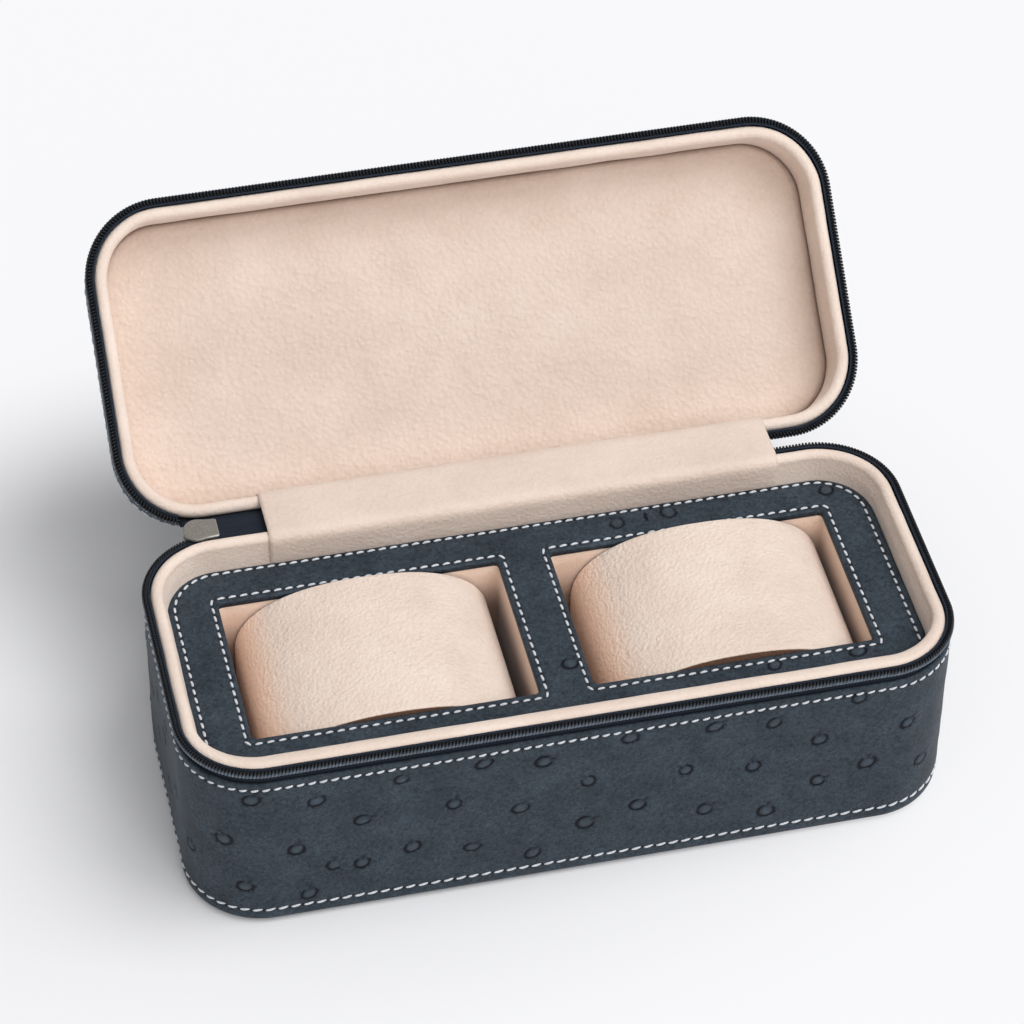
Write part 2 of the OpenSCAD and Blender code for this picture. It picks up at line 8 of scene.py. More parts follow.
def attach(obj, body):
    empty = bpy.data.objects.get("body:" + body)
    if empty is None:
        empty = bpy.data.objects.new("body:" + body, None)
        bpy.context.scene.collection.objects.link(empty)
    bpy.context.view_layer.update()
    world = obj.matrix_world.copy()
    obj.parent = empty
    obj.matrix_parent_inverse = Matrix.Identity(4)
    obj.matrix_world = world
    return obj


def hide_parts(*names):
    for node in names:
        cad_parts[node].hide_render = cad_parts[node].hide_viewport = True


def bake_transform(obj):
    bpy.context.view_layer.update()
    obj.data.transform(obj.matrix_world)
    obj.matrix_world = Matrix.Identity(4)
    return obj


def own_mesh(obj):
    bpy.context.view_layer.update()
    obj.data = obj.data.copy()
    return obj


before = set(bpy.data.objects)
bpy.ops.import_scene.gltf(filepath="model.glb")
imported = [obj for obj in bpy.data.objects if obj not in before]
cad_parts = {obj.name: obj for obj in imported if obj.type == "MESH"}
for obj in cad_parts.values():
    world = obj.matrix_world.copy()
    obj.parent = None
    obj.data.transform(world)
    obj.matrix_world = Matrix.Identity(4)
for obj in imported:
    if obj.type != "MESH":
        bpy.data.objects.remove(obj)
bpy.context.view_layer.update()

# ---- Camera ----
# A long lens in front of the case, to its left and above, looking down at 44 degrees.
ahead = np.array([0.17028291, 0.69805003, -0.69550693])
rightward = np.array([0.9740379, -0.22608965, 0.01156009])
camera = bpy.data.objects.new("camera", bpy.data.cameras.new("camera"))
camera.data.sensor_width = 36
camera.data.lens = 144.796
camera.data.clip_start = 0.05
aim = np.eye(4)
aim[:3, :3] = np.column_stack([rightward, np.cross(rightward, ahead), -ahead])
aim[:3, 3] = (-0.192897, -0.749442, 0.840778)
camera.matrix_world = Matrix(aim.tolist())
bpy.context.scene.collection.objects.link(camera)
bpy.context.scene.camera = camera
bpy.context.scene.view_settings.view_transform = "Standard"

# ---- Table and light ----
# A pale matt table that runs out of view, a wide soft lamp high on the right, a weaker
# one in front on the left, and an even white room.


def srgb(red, green, blue):
    """A colour written in 0-255 display values, as the linear values that shaders take."""
    c = np.array([red, green, blue]) / 255
    return (*np.where(c < 0.04045, c / 12.92, ((c + 0.055) / 1.055) ** 2.4), 1.0)


def add(tree, kind, values=(), **settings):
    """A shader node; values maps its sockets to numbers or to the outputs that feed them."""
    node = tree.nodes.new("ShaderNode" + kind)
    for name, value in settings.items():
        setattr(node, name, value)
    for socket, value in dict(values).items():
        if isinstance(value, bpy.types.NodeSocket):
            tree.links.new(value, node.inputs[socket])
        else:
            node.inputs[socket].default_value = value
    return node


class Finish:
    """A material with one Principled shader, given the values it has all over. Its here
    is the place on the piece, and each method adds a node and returns what it gives."""

    def __init__(self, name, **values):
        self.material = bpy.data.materials.new(name)
        self.material.use_nodes = True
        self.tree = self.material.node_tree
        self.shader = self.tree.nodes["Principled BSDF"]
        for socket, value in values.items():
            self.shader.inputs[socket.replace("_", " ")].default_value = value
        self.here = add(self.tree, "TexCoord").outputs["Object"]

    def math(self, operation, *terms, clamp=False):
        """One arithmetic node over numbers or outputs."""
        node = add(self.tree, "Math", enumerate(terms), operation=operation, use_clamp=clamp)
        return node.outputs[0]

    def bell(self, value, width):
        """exp(-(value / width)^2)"""
        square = self.math("POWER", self.math("DIVIDE", value, width), 2.0)
        return self.math("EXPONENT", self.math("MULTIPLY", square, -1.0))

    def spread(self, value, *ends, **settings):
        """The value, carried from between the first two ends to between the last two."""
        return add(self.tree, "MapRange", enumerate((value, *ends)), **settings).outputs[0]

    def noise(self, scale, detail, **values):
        """Fractal noise of the given scale over the piece, between 0 and 1."""
        values = {"Vector": self.here, "Scale": scale, "Detail": detail, **values}
        return add(self.tree, "TexNoise", values).outputs["Fac"]

    def ramp(self, share, *stops):
        """A colour between two stops, each a position and a colour."""
        node = add(self.tree, "ValToRGB", {"Fac": share})
        for element, (at, colour) in zip(node.color_ramp.elements, stops):
            element.position, element.color = at, colour
        return node.outputs[0]

    def mix(self, share, first, second, blend="MIX"):
        """The first colour, and by its share the second."""
        values = enumerate((share, first, second))
        return add(self.tree, "MixRGB", values, blend_type=blend).outputs[0]

    def attribute(self, name, output="Fac"):
        """What the mesh holds for each point under this name."""
        return add(self.tree, "Attribute", attribute_name=name).outputs[output]

    def parts(self, name):
        """The three numbers of a vector attribute."""
        return add(self.tree, "SeparateXYZ", {0: self.attribute(name, "Vector")}).outputs

    def wear(self, colour, height, strength, distance):
        """The finished material, with this colour and with height as relief."""
        bump = {"Height": height, "Strength": strength, "Distance": distance}
        bump = add(self.tree, "Bump", bump).outputs[0]
        self.tree.links.new(colour, self.shader.inputs["Base Color"])
        self.tree.links.new(bump, self.shader.inputs["Normal"])
        return self.material


# Far from the case the table looks as bright as the room. Near it, it takes the shadows.
table_half = 4.0
ground = Finish("table", Base_Color=srgb(246, 246, 248), Roughness=0.9, Specular_IOR_Level=0.1)
tree = ground.tree
rays = add(tree, "LightPath").outputs
seen = ground.math("MAXIMUM", rays["Is Camera Ray"], rays["Is Glossy Ray"])
glow = add(tree, "Emission", {"Color": srgb(249, 249, 251), "Strength": 1.0})
across = add(tree, "VectorMath", {0: ground.here, 1: (0.6, 1.0, 0.0)}, operation="MULTIPLY")
middle = {0: across.outputs[0], 1: (-0.045, 0.035, 0.0)}
apart = add(tree, "VectorMath", middle, operation="DISTANCE")
far = ground.spread(apart.outputs["Value"], 0.085, 0.16, 0.03, 0.95, interpolation_type="SMOOTHSTEP")
far = ground.math("MULTIPLY", seen, far)
lift = add(tree, "MixShader", {0: far, 1: ground.shader.outputs[0], 2: glow.outputs[0]})
tree.links.new(lift.outputs[0], tree.nodes["Material Output"].inputs["Surface"])
mesh = bpy.data.meshes.new("table")
corners = [(x * table_half, y * table_half, -0.0001) for x, y in ((-1, -1), (1, -1), (1, 1), (-1, 1))]
mesh.from_pydata(corners, [], [(0, 1, 2, 3)])
mesh.materials.append(ground.material)
table = bpy.data.objects.new("table", mesh)
bpy.context.scene.collection.objects.link(table)

world = bpy.data.worlds.new("room")
world.use_nodes = True
tree = world.node_tree
seen = add(tree, "LightPath").outputs["Is Camera Ray"]
brightness = add(tree, "MapRange", {0: seen, 3: 0.33, 4: 0.95})
tree.nodes["Background"].inputs["Color"].default_value = (1, 1, 1, 1)
tree.links.new(brightness.outputs[0], tree.nodes["Background"].inputs["Strength"])
bpy.context.scene.world = world

lamps = (
    ("key_lamp", (1.3, -0.6, 2.85), 2.2, 58.0),
    ("fill_lamp", (0.15, -2.3, 2.2), 1.8, 35.0),
)
for name, at, size, power in lamps:
    lamp = bpy.data.lights.new(name, "AREA")
    lamp.size = size
    lamp.energy = power
    holder = bpy.data.objects.new(name, lamp)
    holder.rotation_euler = (-Vector(at)).to_track_quat("-Z", "Y").to_euler()
    holder.location = at
    bpy.context.scene.collection.objects.link(holder)

# ---- Outer leather of the base ----
# Ostrich-embossed leather glued round the walls, turned over the bottom edge and in
# under the case, where a panel closes it. Both rows of thread press a channel into it.
MM = 0.001
HALF_X, HALF_Y, CORNER = 105.0, 44.75, 21.7
BASE_HEIGHT, LID_HEIGHT, RIM_GAP = 59.1, 24.0, 0.6
LEATHER, EDGE_R, TURN_IN = 1.2, 3.0, 10.0
LEATHER_DROP = 4.85
RIM_ROW_DROP, EDGE_ROW_RISE = 7.0, 5.2
RIM_PITCH, EDGE_PITCH, INSERT_PITCH = 3.0, 3.45, 3.1
# Half the width of a channel under thread, and a distance that no mark or row reaches.
CHANNEL, FAR = 0.6, 9.0


def ring_length(half_x, half_y, corner):
    """Length round a rectangle with round corners: its straight sides and one circle."""
    return 4 * (half_x + half_y - 2 * corner) + 2 * math.pi * corner


def ring(s, half_x, half_y, corner):
    """Points and outward directions at distance s along a rectangle with round corners,
    from the left end of its front side and to the right: a point on the rectangle of
    corner centres, moved out by the corner radius along the outward direction."""
    core = np.array([half_x - corner, half_y - corner])
    straight = 2 * core[[0, 1, 0, 1]]
    starts = np.concatenate([[0], np.cumsum(straight + math.pi / 2 * corner)])
    s = np.mod(s, starts[-1])
    side = np.clip(np.searchsorted(starts, s, side="right") - 1, 0, 3)
    t = s - starts[side]
    angle = side * math.pi / 2
    along = np.minimum(t, straight[side]) - core[side % 2]
    turn = np.maximum(t - straight[side], 0) / corner
    way = np.stack([np.cos(angle), np.sin(angle)], -1)
    out = np.stack([way[..., 1], -way[..., 0]], -1)
    facing = angle - math.pi / 2 + turn
    normal = np.stack([np.cos(facing), np.sin(facing)], -1)
    centre = way * along[..., None] + out * core[(side + 1) % 2][..., None]
    return centre + corner * normal, normal


def round_case(s, inset, z):
    """The case's outline at distance s, moved in by inset, at height z, in mm."""
    point, normal = ring(s, HALF_X, HALF_Y, CORNER)
    flat = point - normal * np.asarray(inset)[..., None]
    return np.concatenate([flat, np.broadcast_to(z, flat.shape[:-1])[..., None]], -1)


def grid(rows, cols, close_rows=False, close_cols=False):
    """Quads between neighbours on a grid, closed into a ring in either direction."""
    i, j = np.meshgrid(
        np.arange(rows if close_rows else rows - 1),
        np.arange(cols if close_cols else cols - 1),
        indexing="ij",
    )
    up, on = (i + 1) % rows, (j + 1) % cols
    return np.stack([i * cols + j, up * cols + j, up * cols + on, i * cols + on], -1).reshape(-1, 4)


def volume(points, faces):
    """Signed volume of closed faces: a sixth of the sum of corner triple products."""
    total = 0.0
    for polygons in faces:
        first = points[polygons[:, 0]]
        for k in range(1, polygons.shape[1] - 1):
            second, third = points[polygons[:, k]], points[polygons[:, k + 1]]
            total += (first * np.cross(second, third)).sum() / 6
    return total


def piece(name, points, faces, material, **values):
    """A closed object from points in mm and arrays of faces, turned to face outwards.
    values are attributes, with one number or one vector for each point."""
    points = np.asarray(points, float).reshape(-1, 3)
    faces = [np.asarray(f) for f in (faces if isinstance(faces, list) else [faces])]
    if volume(points, faces) < 0:
        faces = [f[:, ::-1] for f in faces]
    corners = np.concatenate([f.ravel() for f in faces])
    used, corners = np.unique(corners, return_inverse=True)
    sizes = np.concatenate([np.full(len(f), f.shape[1]) for f in faces])
    mesh = bpy.data.meshes.new(name)
    mesh.vertices.add(len(used))
    mesh.vertices.foreach_set("co", (points[used] * MM).astype(np.float32).ravel())
    mesh.loops.add(len(corners))
    mesh.loops.foreach_set("vertex_index", corners.astype(np.int32).ravel())
    mesh.polygons.add(len(sizes))
    starts = np.concatenate([[0], np.cumsum(sizes)[:-1]])
    mesh.polygons.foreach_set("loop_start", starts.astype(np.int32))
    mesh.update(calc_edges=True)
    mesh.polygons.foreach_set("use_smooth", np.ones(len(sizes), bool))
    for attribute, numbers in values.items():
        numbers = np.asarray(numbers, np.float32).reshape(len(points), -1)[used]
        kind, field = ("FLOAT", "value") if numbers.shape[1] == 1 else ("FLOAT_VECTOR", "vector")
        mesh.attributes.new(attribute, kind, "POINT").data.foreach_set(field, numbers.ravel())
    mesh.materials.append(material)
    made = bpy.data.objects.new(name, mesh)
    bpy.context.scene.collection.objects.link(made)
    return made


def place(made, body, slot, *stands_for):
    """Rides a piece on its body and hides the nodes it stands for. Its slot is not used."""
    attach(made, body)
    if stands_for:
        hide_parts(*stands_for)
    return made


def quill_marks(u, v, places, seed, around=None):
    """Relief in mm of quill follicles over u and v, and each point's place in its mark:
    reach towards the mark's open side, distance aside from that, both 1 on the groove
    that rings it, and how deep the mark is. A mark is an oval dome in a sunken ring."""
    draw = np.random.default_rng(seed)
    relief = np.zeros(np.broadcast(u, v).shape)
    mark = np.full((*relief.shape, 3), FAR)
    mark[..., 2] = 0
    for centre_u, centre_v in places:
        tilt, mouth = np.radians(draw.normal(20, 14)), np.radians(draw.normal(48, 22))
        long, wide = draw.normal(2.12, 0.2), draw.normal(1.8, 0.16)
        depth = draw.uniform(0.7, 1.0)
        du = u - centre_u
        if around:
            du = np.mod(du + around / 2, around) - around / 2
        near = (abs(du) < 6) & (abs(v - centre_v) < 6)
        du, dv = (np.broadcast_to(d, near.shape)[near] for d in (du, v - centre_v))
        p = (du * math.cos(tilt) + dv * math.sin(tilt)) / long
        q = (dv * math.cos(tilt) - du * math.sin(tilt)) / wide
        r = np.hypot(p, q)
        reach = p * math.cos(mouth) + q * math.sin(mouth)
        aside = q * math.cos(mouth) - p * math.sin(mouth)
        ringed = np.exp(-(((r - 1) / 0.25) ** 2)) * (1 - 0.6 * np.clip(reach, 0, 1) ** 2)
        dome = 0.34 * np.maximum(1 - r**2, 0) + 0.1 * np.exp(-(((r - 1.7) / 0.4) ** 2))
        relief[near] += depth * (dome - 0.28 * ringed)
        mark[near] = np.stack([reach, aside, np.where(r < 2.6, depth, 0)], -1)
    return relief, mark


def uneven(u, v, seed, size=9.0, depth=0.05, waves=14):
    """Gentle unevenness of leather in mm: a sum of sine waves in random directions."""
    draw = np.random.default_rng(seed)
    total = 0.0
    for _ in range(waves):
        angle, phase = draw.uniform(0, 2 * math.pi, 2)
        k = 2 * math.pi / (size * draw.uniform(0.7, 2.2))
        total = total + np.sin(k * (u * math.cos(angle) + v * math.sin(angle)) + phase)
    return depth * total / math.sqrt(waves)


def leather_finish(name, light, dark, roughness):
    """Dyed leather. The colour varies in soft patches and fine specks; pores and short
    wrinkles are bump. The mark attribute draws the dark ring and tail of each quill, as dye
    and as painted shade of its groove, and a painted highlight on its dome. The row
    attribute, stitches along and mm across, paints shade into the needle holes and along
    the channel of the thread."""
    finish = Finish(name, Roughness=roughness, Specular_IOR_Level=0.14)
    calc = finish.math
    wrinkles = finish.noise(1000, 6, Roughness=0.7, Distortion=0.8)
    pores = add(finish.tree, "TexVoronoi", {"Vector": finish.here, "Scale": 1300}).outputs["Distance"]
    colour = finish.ramp(finish.noise(90, 5, Roughness=0.6), (0.34, dark), (0.66, light))
    colour = finish.mix(1.0, colour, finish.spread(wrinkles, 0.36, 0.66, 0.52, 1.44), "MULTIPLY")

    # Painted light: the ring and tail are darkened partly as dye and partly as painted shade of the groove
    # round the quill. The lighter inside is a painted highlight on its dome.
    reach, aside, deep = finish.parts("mark")
    r = calc("SQRT", calc("ADD", calc("POWER", reach, 2.0), calc("POWER", aside, 2.0)))
    wobble = calc("MULTIPLY_ADD", wrinkles, 0.7, -0.35)
    line = finish.bell(calc("SUBTRACT", calc("ADD", r, wobble), 1.0), 0.22)
    mouth = calc("POWER", calc("MAXIMUM", calc("DIVIDE", reach, r), 0.0), 3.0)
    line = calc("MULTIPLY", line, calc("MULTIPLY_ADD", mouth, -0.95, 1.0))
    past, ended = finish.spread(reach, 0.5, 1.0, 0.0, 0.5), finish.spread(reach, 1.5, 2.1, 1.0, 0.0)
    tail = finish.bell(calc("ADD", aside, wobble), 0.3)
    tail = calc("MULTIPLY", tail, calc("MULTIPLY", past, ended))
    line = calc("MULTIPLY", calc("MAXIMUM", line, tail), deep)
    line = calc("MULTIPLY", line, 1.6, clamp=True)
    inside = finish.spread(r, 0.9, 0.2, 0.0, 0.5, interpolation_type="SMOOTHSTEP")
    inside = calc("MULTIPLY", inside, deep)

    # Painted shade: dark in the needle holes, and fainter all along the channel under the thread.
    along, across, _ = finish.parts("row")
    hole = finish.spread(calc("PINGPONG", along, 0.5), 0.17, 0.03, 0.0, 1.0)
    close = finish.spread(calc("ABSOLUTE", across), 0.85, 0.25, 0.0, 1.0)
    hole = calc("MULTIPLY", hole, close)
    dip = calc("MAXIMUM", hole, calc("MULTIPLY", close, 0.35))

    ring_dye_and_groove_shade, painted_dome_highlight, painted_hole_shade = srgb(11, 15, 25), srgb(80, 92, 104), srgb(13, 16, 21)
    for share, most, dye in ((line, 0.95, ring_dye_and_groove_shade), (inside, 0.8, painted_dome_highlight), (dip, 0.6, painted_hole_shade)):
        colour = finish.mix(calc("MULTIPLY", share, most), colour, dye)
    height = calc("MULTIPLY_ADD", pores, -0.35, calc("MULTIPLY", wrinkles, 1.6))
    height = calc("MULTIPLY_ADD", line, -1.1, height)
    height = calc("MULTIPLY_ADD", hole, -1.6, height)
    return finish.wear(colour, height, 0.42, 0.0003)


navy_leather = leather_finish("navy_leather", srgb(61, 71, 81), srgb(49, 58, 67), 0.5)
case_round = ring_length(HALF_X, HALF_Y, CORNER)
back_middle = case_round / 2 + HALF_X - CORNER
around_fine = back_middle + np.linspace(0, case_round, 904, endpoint=False)
around_plain = back_middle + np.linspace(0, case_round, 400, endpoint=False)


def scattered(u0, u1, v0, v1, step, seed):
    """Places in a staggered pattern over a rectangle, each moved a little at random."""
    draw = np.random.default_rng(seed)
    u, v = np.meshgrid(np.arange(u0, u1, step), np.arange(v0, v1, step * 0.62), indexing="ij")
    u = u + (np.arange(u.shape[1]) % 2) * step / 2 + draw.normal(0, step * 0.13, u.shape)
    v = v + draw.normal(0, step * 0.09, v.shape)
    return [(a, b) for a, b in zip(u.ravel(), v.ravel()) if u0 <= a <= u1 and v0 <= b <= v1]


base_quills = [
    (11.5, 45.0), (5.8, 27.5), (8.8, 9.2), (15.8, 19.0), (23.5, 34.8), (34.0, 48.0),
    (48.0, 35.2), (66.0, 29.2), (56.0, 48.8), (72.0, 45.8), (36.8, 21.0), (53.0, 17.0),
    (23.2, 18.0), (69.5, 10.5), (95.2, 49.5), (84.2, 35.5), (118.2, 48.5), (134.5, 46.2),
    (110.8, 33.5), (129.5, 30.5), (98.0, 22.8), (116.8, 16.5), (134.0, 11.8), (83.8, 19.2),
    (157.5, 50.5), (147.5, 36.8), (148.0, 20.5), (161.5, 24.5), (172.2, 37.0), (178.5, 18.8),
    (556.2, 48.5), (548.2, 31.8), (553.5, 14.5), (536.0, 21.0),
] + scattered(190, 526, 9, 50, 17.5, 5)  # fmt: skip


def leather_wall(body, height, quills, seed, to_body, draft=0.0):
    """Leather carried round the case on one closed profile: over its folded top edge,
    down the wall, round the edge and in under the case, and back along its inner face.
    Quill marks, unevenness and the channels of the thread move the outer face. The wall
    leans in by draft from its rim to the edge."""
    top = height - LEATHER_DROP
    turn = np.radians(np.arange(0, 91, 15))
    bend = EDGE_R - LEATHER
    profile = [(LEATHER, top - 0.2), (0.95, top), (0.5, top + 0.02), (0.15, top - 0.2), (0.0, top - 0.55)]
    profile += [(0.0, z) for z in np.linspace(top - 1.1, EDGE_R + 0.5, round((top - 4.6) / 0.58))]
    profile += [(EDGE_R * (1 - math.cos(a)), EDGE_R * (1 - math.sin(a))) for a in turn]
    profile += [((EDGE_R + TURN_IN) / 2, 0.0), (TURN_IN, 0.0), (TURN_IN, LEATHER)]
    profile += [(EDGE_R - bend * math.sin(a), EDGE_R - bend * math.cos(a)) for a in turn[::3]]
    inset, z = np.array(profile).T
    lean = draft * np.clip(1 - z / top, 0, 1) * np.clip((TURN_IN - inset) / (TURN_IN - EDGE_R), 0, 1)
    outer = ((inset < 0.3) & (z < top - 0.5) & (z > 1.0)).astype(float)
    s = around_fine[:, None]
    relief, mark = quill_marks(s, z, quills, seed, case_round)
    mark[..., 2] *= outer
    across_rim, across_edge = z - (height - RIM_ROW_DROP), z - EDGE_ROW_RISE
    channel = np.exp(-((across_rim / CHANNEL) ** 2)) + np.exp(-((across_edge / CHANNEL) ** 2))
    shift = (relief + uneven(s, z, seed + 1) - 0.16 * channel) * outer
    by_rim = abs(across_rim) < abs(across_edge)
    count = np.where(by_rim, round(case_round / RIM_PITCH), round(case_round / EDGE_PITCH))
    across = np.where(by_rim, across_rim, across_edge) + FAR * (1 - outer)
    row = np.stack(np.broadcast_arrays(s / case_round * count, across, 0.0), -1)
    points = to_body(round_case(s, inset + lean - shift, z))
    quads = grid(len(s), len(z), True, True)
    wall = piece(f"{body}_leather_wall", points, quads, navy_leather, mark=mark, row=row)
    place(wall, body, "navy_leather", f"{body}_leather_band")


def in_base(points):
    """Points of the base lie where the shell is drawn, rim up."""
    return points


leather_wall("base", BASE_HEIGHT, base_quills, 11, in_base)


def rounded_grid(half_x, half_y, corner, step):
    """A grid over a rectangle with round corners. Its rows run along X, lie closer in the
    corners and are squeezed there so that their ends follow the outline."""
    core = half_y - corner
    turn = corner * np.sin(np.radians(np.linspace(0, 90, 2 + int(corner / step))))
    middle = np.linspace(-core, core, 2 + int(2 * core / step))
    y = np.concatenate([-core - turn[:0:-1], middle, core + turn[1:]])[:, None]
    beyond = np.clip(abs(y) - core, 0, corner)
    reach = half_x - corner + np.sqrt(np.maximum(corner**2 - beyond**2, 0))
    x = np.linspace(-1, 1, 2 + int(2 * half_x / step)) * reach
    return x, np.broadcast_to(y, x.shape)


def thin_body(upper, lower, quads):
    """Points and faces between two sheets of points that share their quads, with walls
    along every edge that belongs to one quad alone."""
    count = len(upper)
    edges = np.concatenate([quads[:, [k, (k + 1) % 4]] for k in range(4)])
    lone = ~np.isin(edges[:, 0] * count + edges[:, 1], edges[:, 1] * count + edges[:, 0])
    a, b = edges[lone].T
    walls = np.stack([b, a, a + count, b + count], -1)
    return np.concatenate([upper, lower]), np.concatenate([quads, quads[:, ::-1] + count, walls])


def slab(x, y, top, bottom, keep=None):
    """A body between two heights over the cells of a grid of x and y that are kept."""
    sheets = [np.stack(np.broadcast_arrays(x, y, z), -1).reshape(-1, 3) for z in (top, bottom)]
    quads = grid(*x.shape)
    return thin_body(*sheets, quads if keep is None else quads[keep.ravel()])


def plain_leather(points, **values):
    """Mark and row attributes for leather with no marks or thread, or half a slab of it."""
    mark = np.zeros((len(points), 3)) + (FAR, FAR, 0)
    row = np.zeros((len(points), 3)) + (0, FAR, 0)
    for name, given in (("mark", mark), ("row", row)):
        if name in values:
            given[: len(values[name])] = values[name]
    return {"mark": mark, "row": row}


def leather_panel(name, quills, seed, to_body):
    """The panel that closes a shell's outer face, inside the leather that is turned in."""
    x, y = rounded_grid(HALF_X - TURN_IN, HALF_Y - TURN_IN, CORNER - TURN_IN, 0.9)
    relief, mark = quill_marks(x, y, quills, seed)
    half_x, half_y = HALF_X - TURN_IN, HALF_Y - TURN_IN
    edge = np.clip((half_y - abs(y)) / 2, 0, 1) * np.clip((half_x - abs(x)) / 2, 0, 1)
    lift = (relief + uneven(x, y, seed + 1)) * edge
    points, faces = slab(x, y, LEATHER, np.maximum(-lift, 0))
    count = x.size
    points = np.concatenate([points[count:], points[:count]])
    faces = np.where(faces < count, faces + count, faces - count)
    values = plain_leather(points, mark=mark.reshape(-1, 3))
    return piece(name, to_body(points), faces, navy_leather, **values)


panel_quills = scattered(-88, 88, -28, 28, 17.5, 21)
base_under = leather_panel("base_leather_under", panel_quills, 22, in_base)
place(base_under, "base", "navy_leather", "base_leather_bottom")

# ---- Rows of thread ----
# Thick off-white thread in a straight lock stitch, sunk in its channel: one row under
# the rim, one above the bottom edge. Each stitch is a short arch with both ends down.


def thread_finish():
    """Twisted thread: off-white, with painted shade darkening it towards the needle holes, where it sinks
    into the leather.
    """
    finish = Finish("white_thread", Roughness=0.7, Sheen_Weight=0.25)
    strands = finish.noise(2600, 3)
    colour = finish.ramp(strands, (0.3, srgb(182, 187, 196)), (0.6, srgb(228, 231, 236)))
    colour = finish.mix(finish.attribute("end"), colour, srgb(120, 126, 136))
    return finish.wear(colour, strands, 0.5, 0.0002)


white_thread = thread_finish()
THREAD_R = 0.36

def circle(count):
    """Even angles round a circle."""
    return np.linspace(0, 2 * math.pi, count, endpoint=False)


def unit(vectors):
    """The same directions, at length 1."""
    return vectors / np.linalg.norm(vectors, axis=1)[:, None]

def stitch_row(name, at, along, out, length, slant):
    """One stitch for each place: rings of eight points along an arch that rises out of
    the leather as the sine of its length, thickest in the middle, closed at both ends.
    A stitch lies across its row by slant times its length."""
    t = np.linspace(0, 1, 8)[:, None, None]
    around = circle(8)[:, None]
    aside = np.cross(out, along)[:, None, None]
    at, along, out = at[:, None, None], along[:, None, None], out[:, None, None]
    swell = np.sin(math.pi * np.clip(t, 0.02, 0.98)) ** 0.3 * THREAD_R
    rise = 0.36 * np.sin(math.pi * t) ** 0.5 - 0.38
    run = (t - 0.5) * length
    centre = at + along * run + out * rise + aside * run * slant
    points = centre + aside * swell * np.cos(around) + out * 0.85 * swell * np.sin(around)
    count = len(at)
    starts = np.arange(count)[:, None, None] * 64
    faces = (grid(8, 8, close_cols=True)[None] + starts).reshape(-1, 4)
    lid_faces = np.stack([np.arange(8)[::-1], np.arange(56, 64)])[None] + starts
    # Painted shade: each stitch darkens towards its ends, where it dips into its hole.
    end = np.broadcast_to(np.clip(abs(t - 0.5) * 5 - 1.7, 0, 1), points.shape[:-1] + (1,))
    return piece(name, points, [faces, lid_faces.reshape(-1, 8)], white_thread, end=end)


def wall_threads(body, height, to_body, draft=0.0):
    """Both rows of thread round a shell, which follow its wall as that leans in by draft.
    Each stitch lies in the middle of its pitch."""
    rim, edge = ("rim", height - RIM_ROW_DROP, RIM_PITCH, 2.35), ("edge", EDGE_ROW_RISE, EDGE_PITCH, 3.05)
    for row, z, pitch, length in (rim, edge):
        inset = draft * (1 - z / (height - LEATHER_DROP))
        count = round(case_round / pitch)
        s = (np.arange(count) + 0.5) / count * case_round
        ways = (s, inset), (s + 0.5, inset), (s, inset - 1.0)
        here, ahead_s, outside = (to_body(round_case(along, deep, z)) for along, deep in ways)
        name = f"{body}_{row}_thread"
        thread = stitch_row(name, here, unit(ahead_s - here), outside - here, length, 0.2)
        place(thread, body, "white_thread", f"{body}_{row}_stitching")


wall_threads("base", BASE_HEIGHT, in_base)

# ---- Zip on the base ----
# A woven tape sewn inside the leather, and on its edge the coil: one nylon wire wound
# into close loops, open at the back where the hinge is.
COIL_PITCH, WIRE_R, WIRE_TAPER = 0.93, 0.28, 0.3
CORD_INSET, COIL_DROP, COIL_RISE = 0.4, 1.1, 0.9
TAPE_IN, TAPE_T, TAPE_TOP, TAPE_LOW = 1.2, 0.55, 0.3, 10.8
# Along the back, s grows towards the left: the zip is open from x = 72 to x = -91 mm.
zip_start, zip_stop = back_middle + 91.0, back_middle - 72.0
zip_run = case_round - (zip_start - zip_stop)


def nylon_finish():
    """Moulded nylon: a dark dye, uneven along its fibres, and painted black shade where the
    shade attribute marks the gaps between the heads of the turns."""
    finish = Finish("zip_coil", Roughness=0.38, Specular_IOR_Level=0.3)
    fibre = finish.noise(900, 4)
    colour = finish.ramp(fibre, (0.35, srgb(90, 100, 112)), (0.65, srgb(118, 129, 142)))
    colour = finish.mix(finish.attribute("shade"), colour, srgb(14, 16, 21))
    return finish.wear(colour, fibre, 0.3, 0.0001)


def tape_finish():
    """Woven polyester tape: fine herringbone ribs from the weave attribute, in threads
    along the tape and mm across it."""
    finish = Finish("zip_tape", Roughness=0.8, Specular_IOR_Level=0.15)
    calc = finish.math
    along, across, _ = finish.parts("weave")
    twill = calc("PINGPONG", calc("ADD", along, calc("PINGPONG", across, 1.2)), 0.3)
    weft = calc("PINGPONG", across, 0.25)
    ribs = calc("MULTIPLY_ADD", twill, 2.4, calc("MULTIPLY", weft, 1.6))
    colour = finish.ramp(ribs, (0.0, srgb(12, 15, 21)), (1.0, srgb(46, 54, 67)))
    return finish.wear(colour, ribs, 0.5, 0.0002)


zip_tape = tape_finish()
zip_coil = nylon_finish()


def tube(rings, sides):
    """Faces of a tube through rings of points, with both ends closed."""
    end = np.arange(sides)[None]
    return [grid(rings, sides, close_cols=True), end, end[:, ::-1] + (rings - 1) * sides]


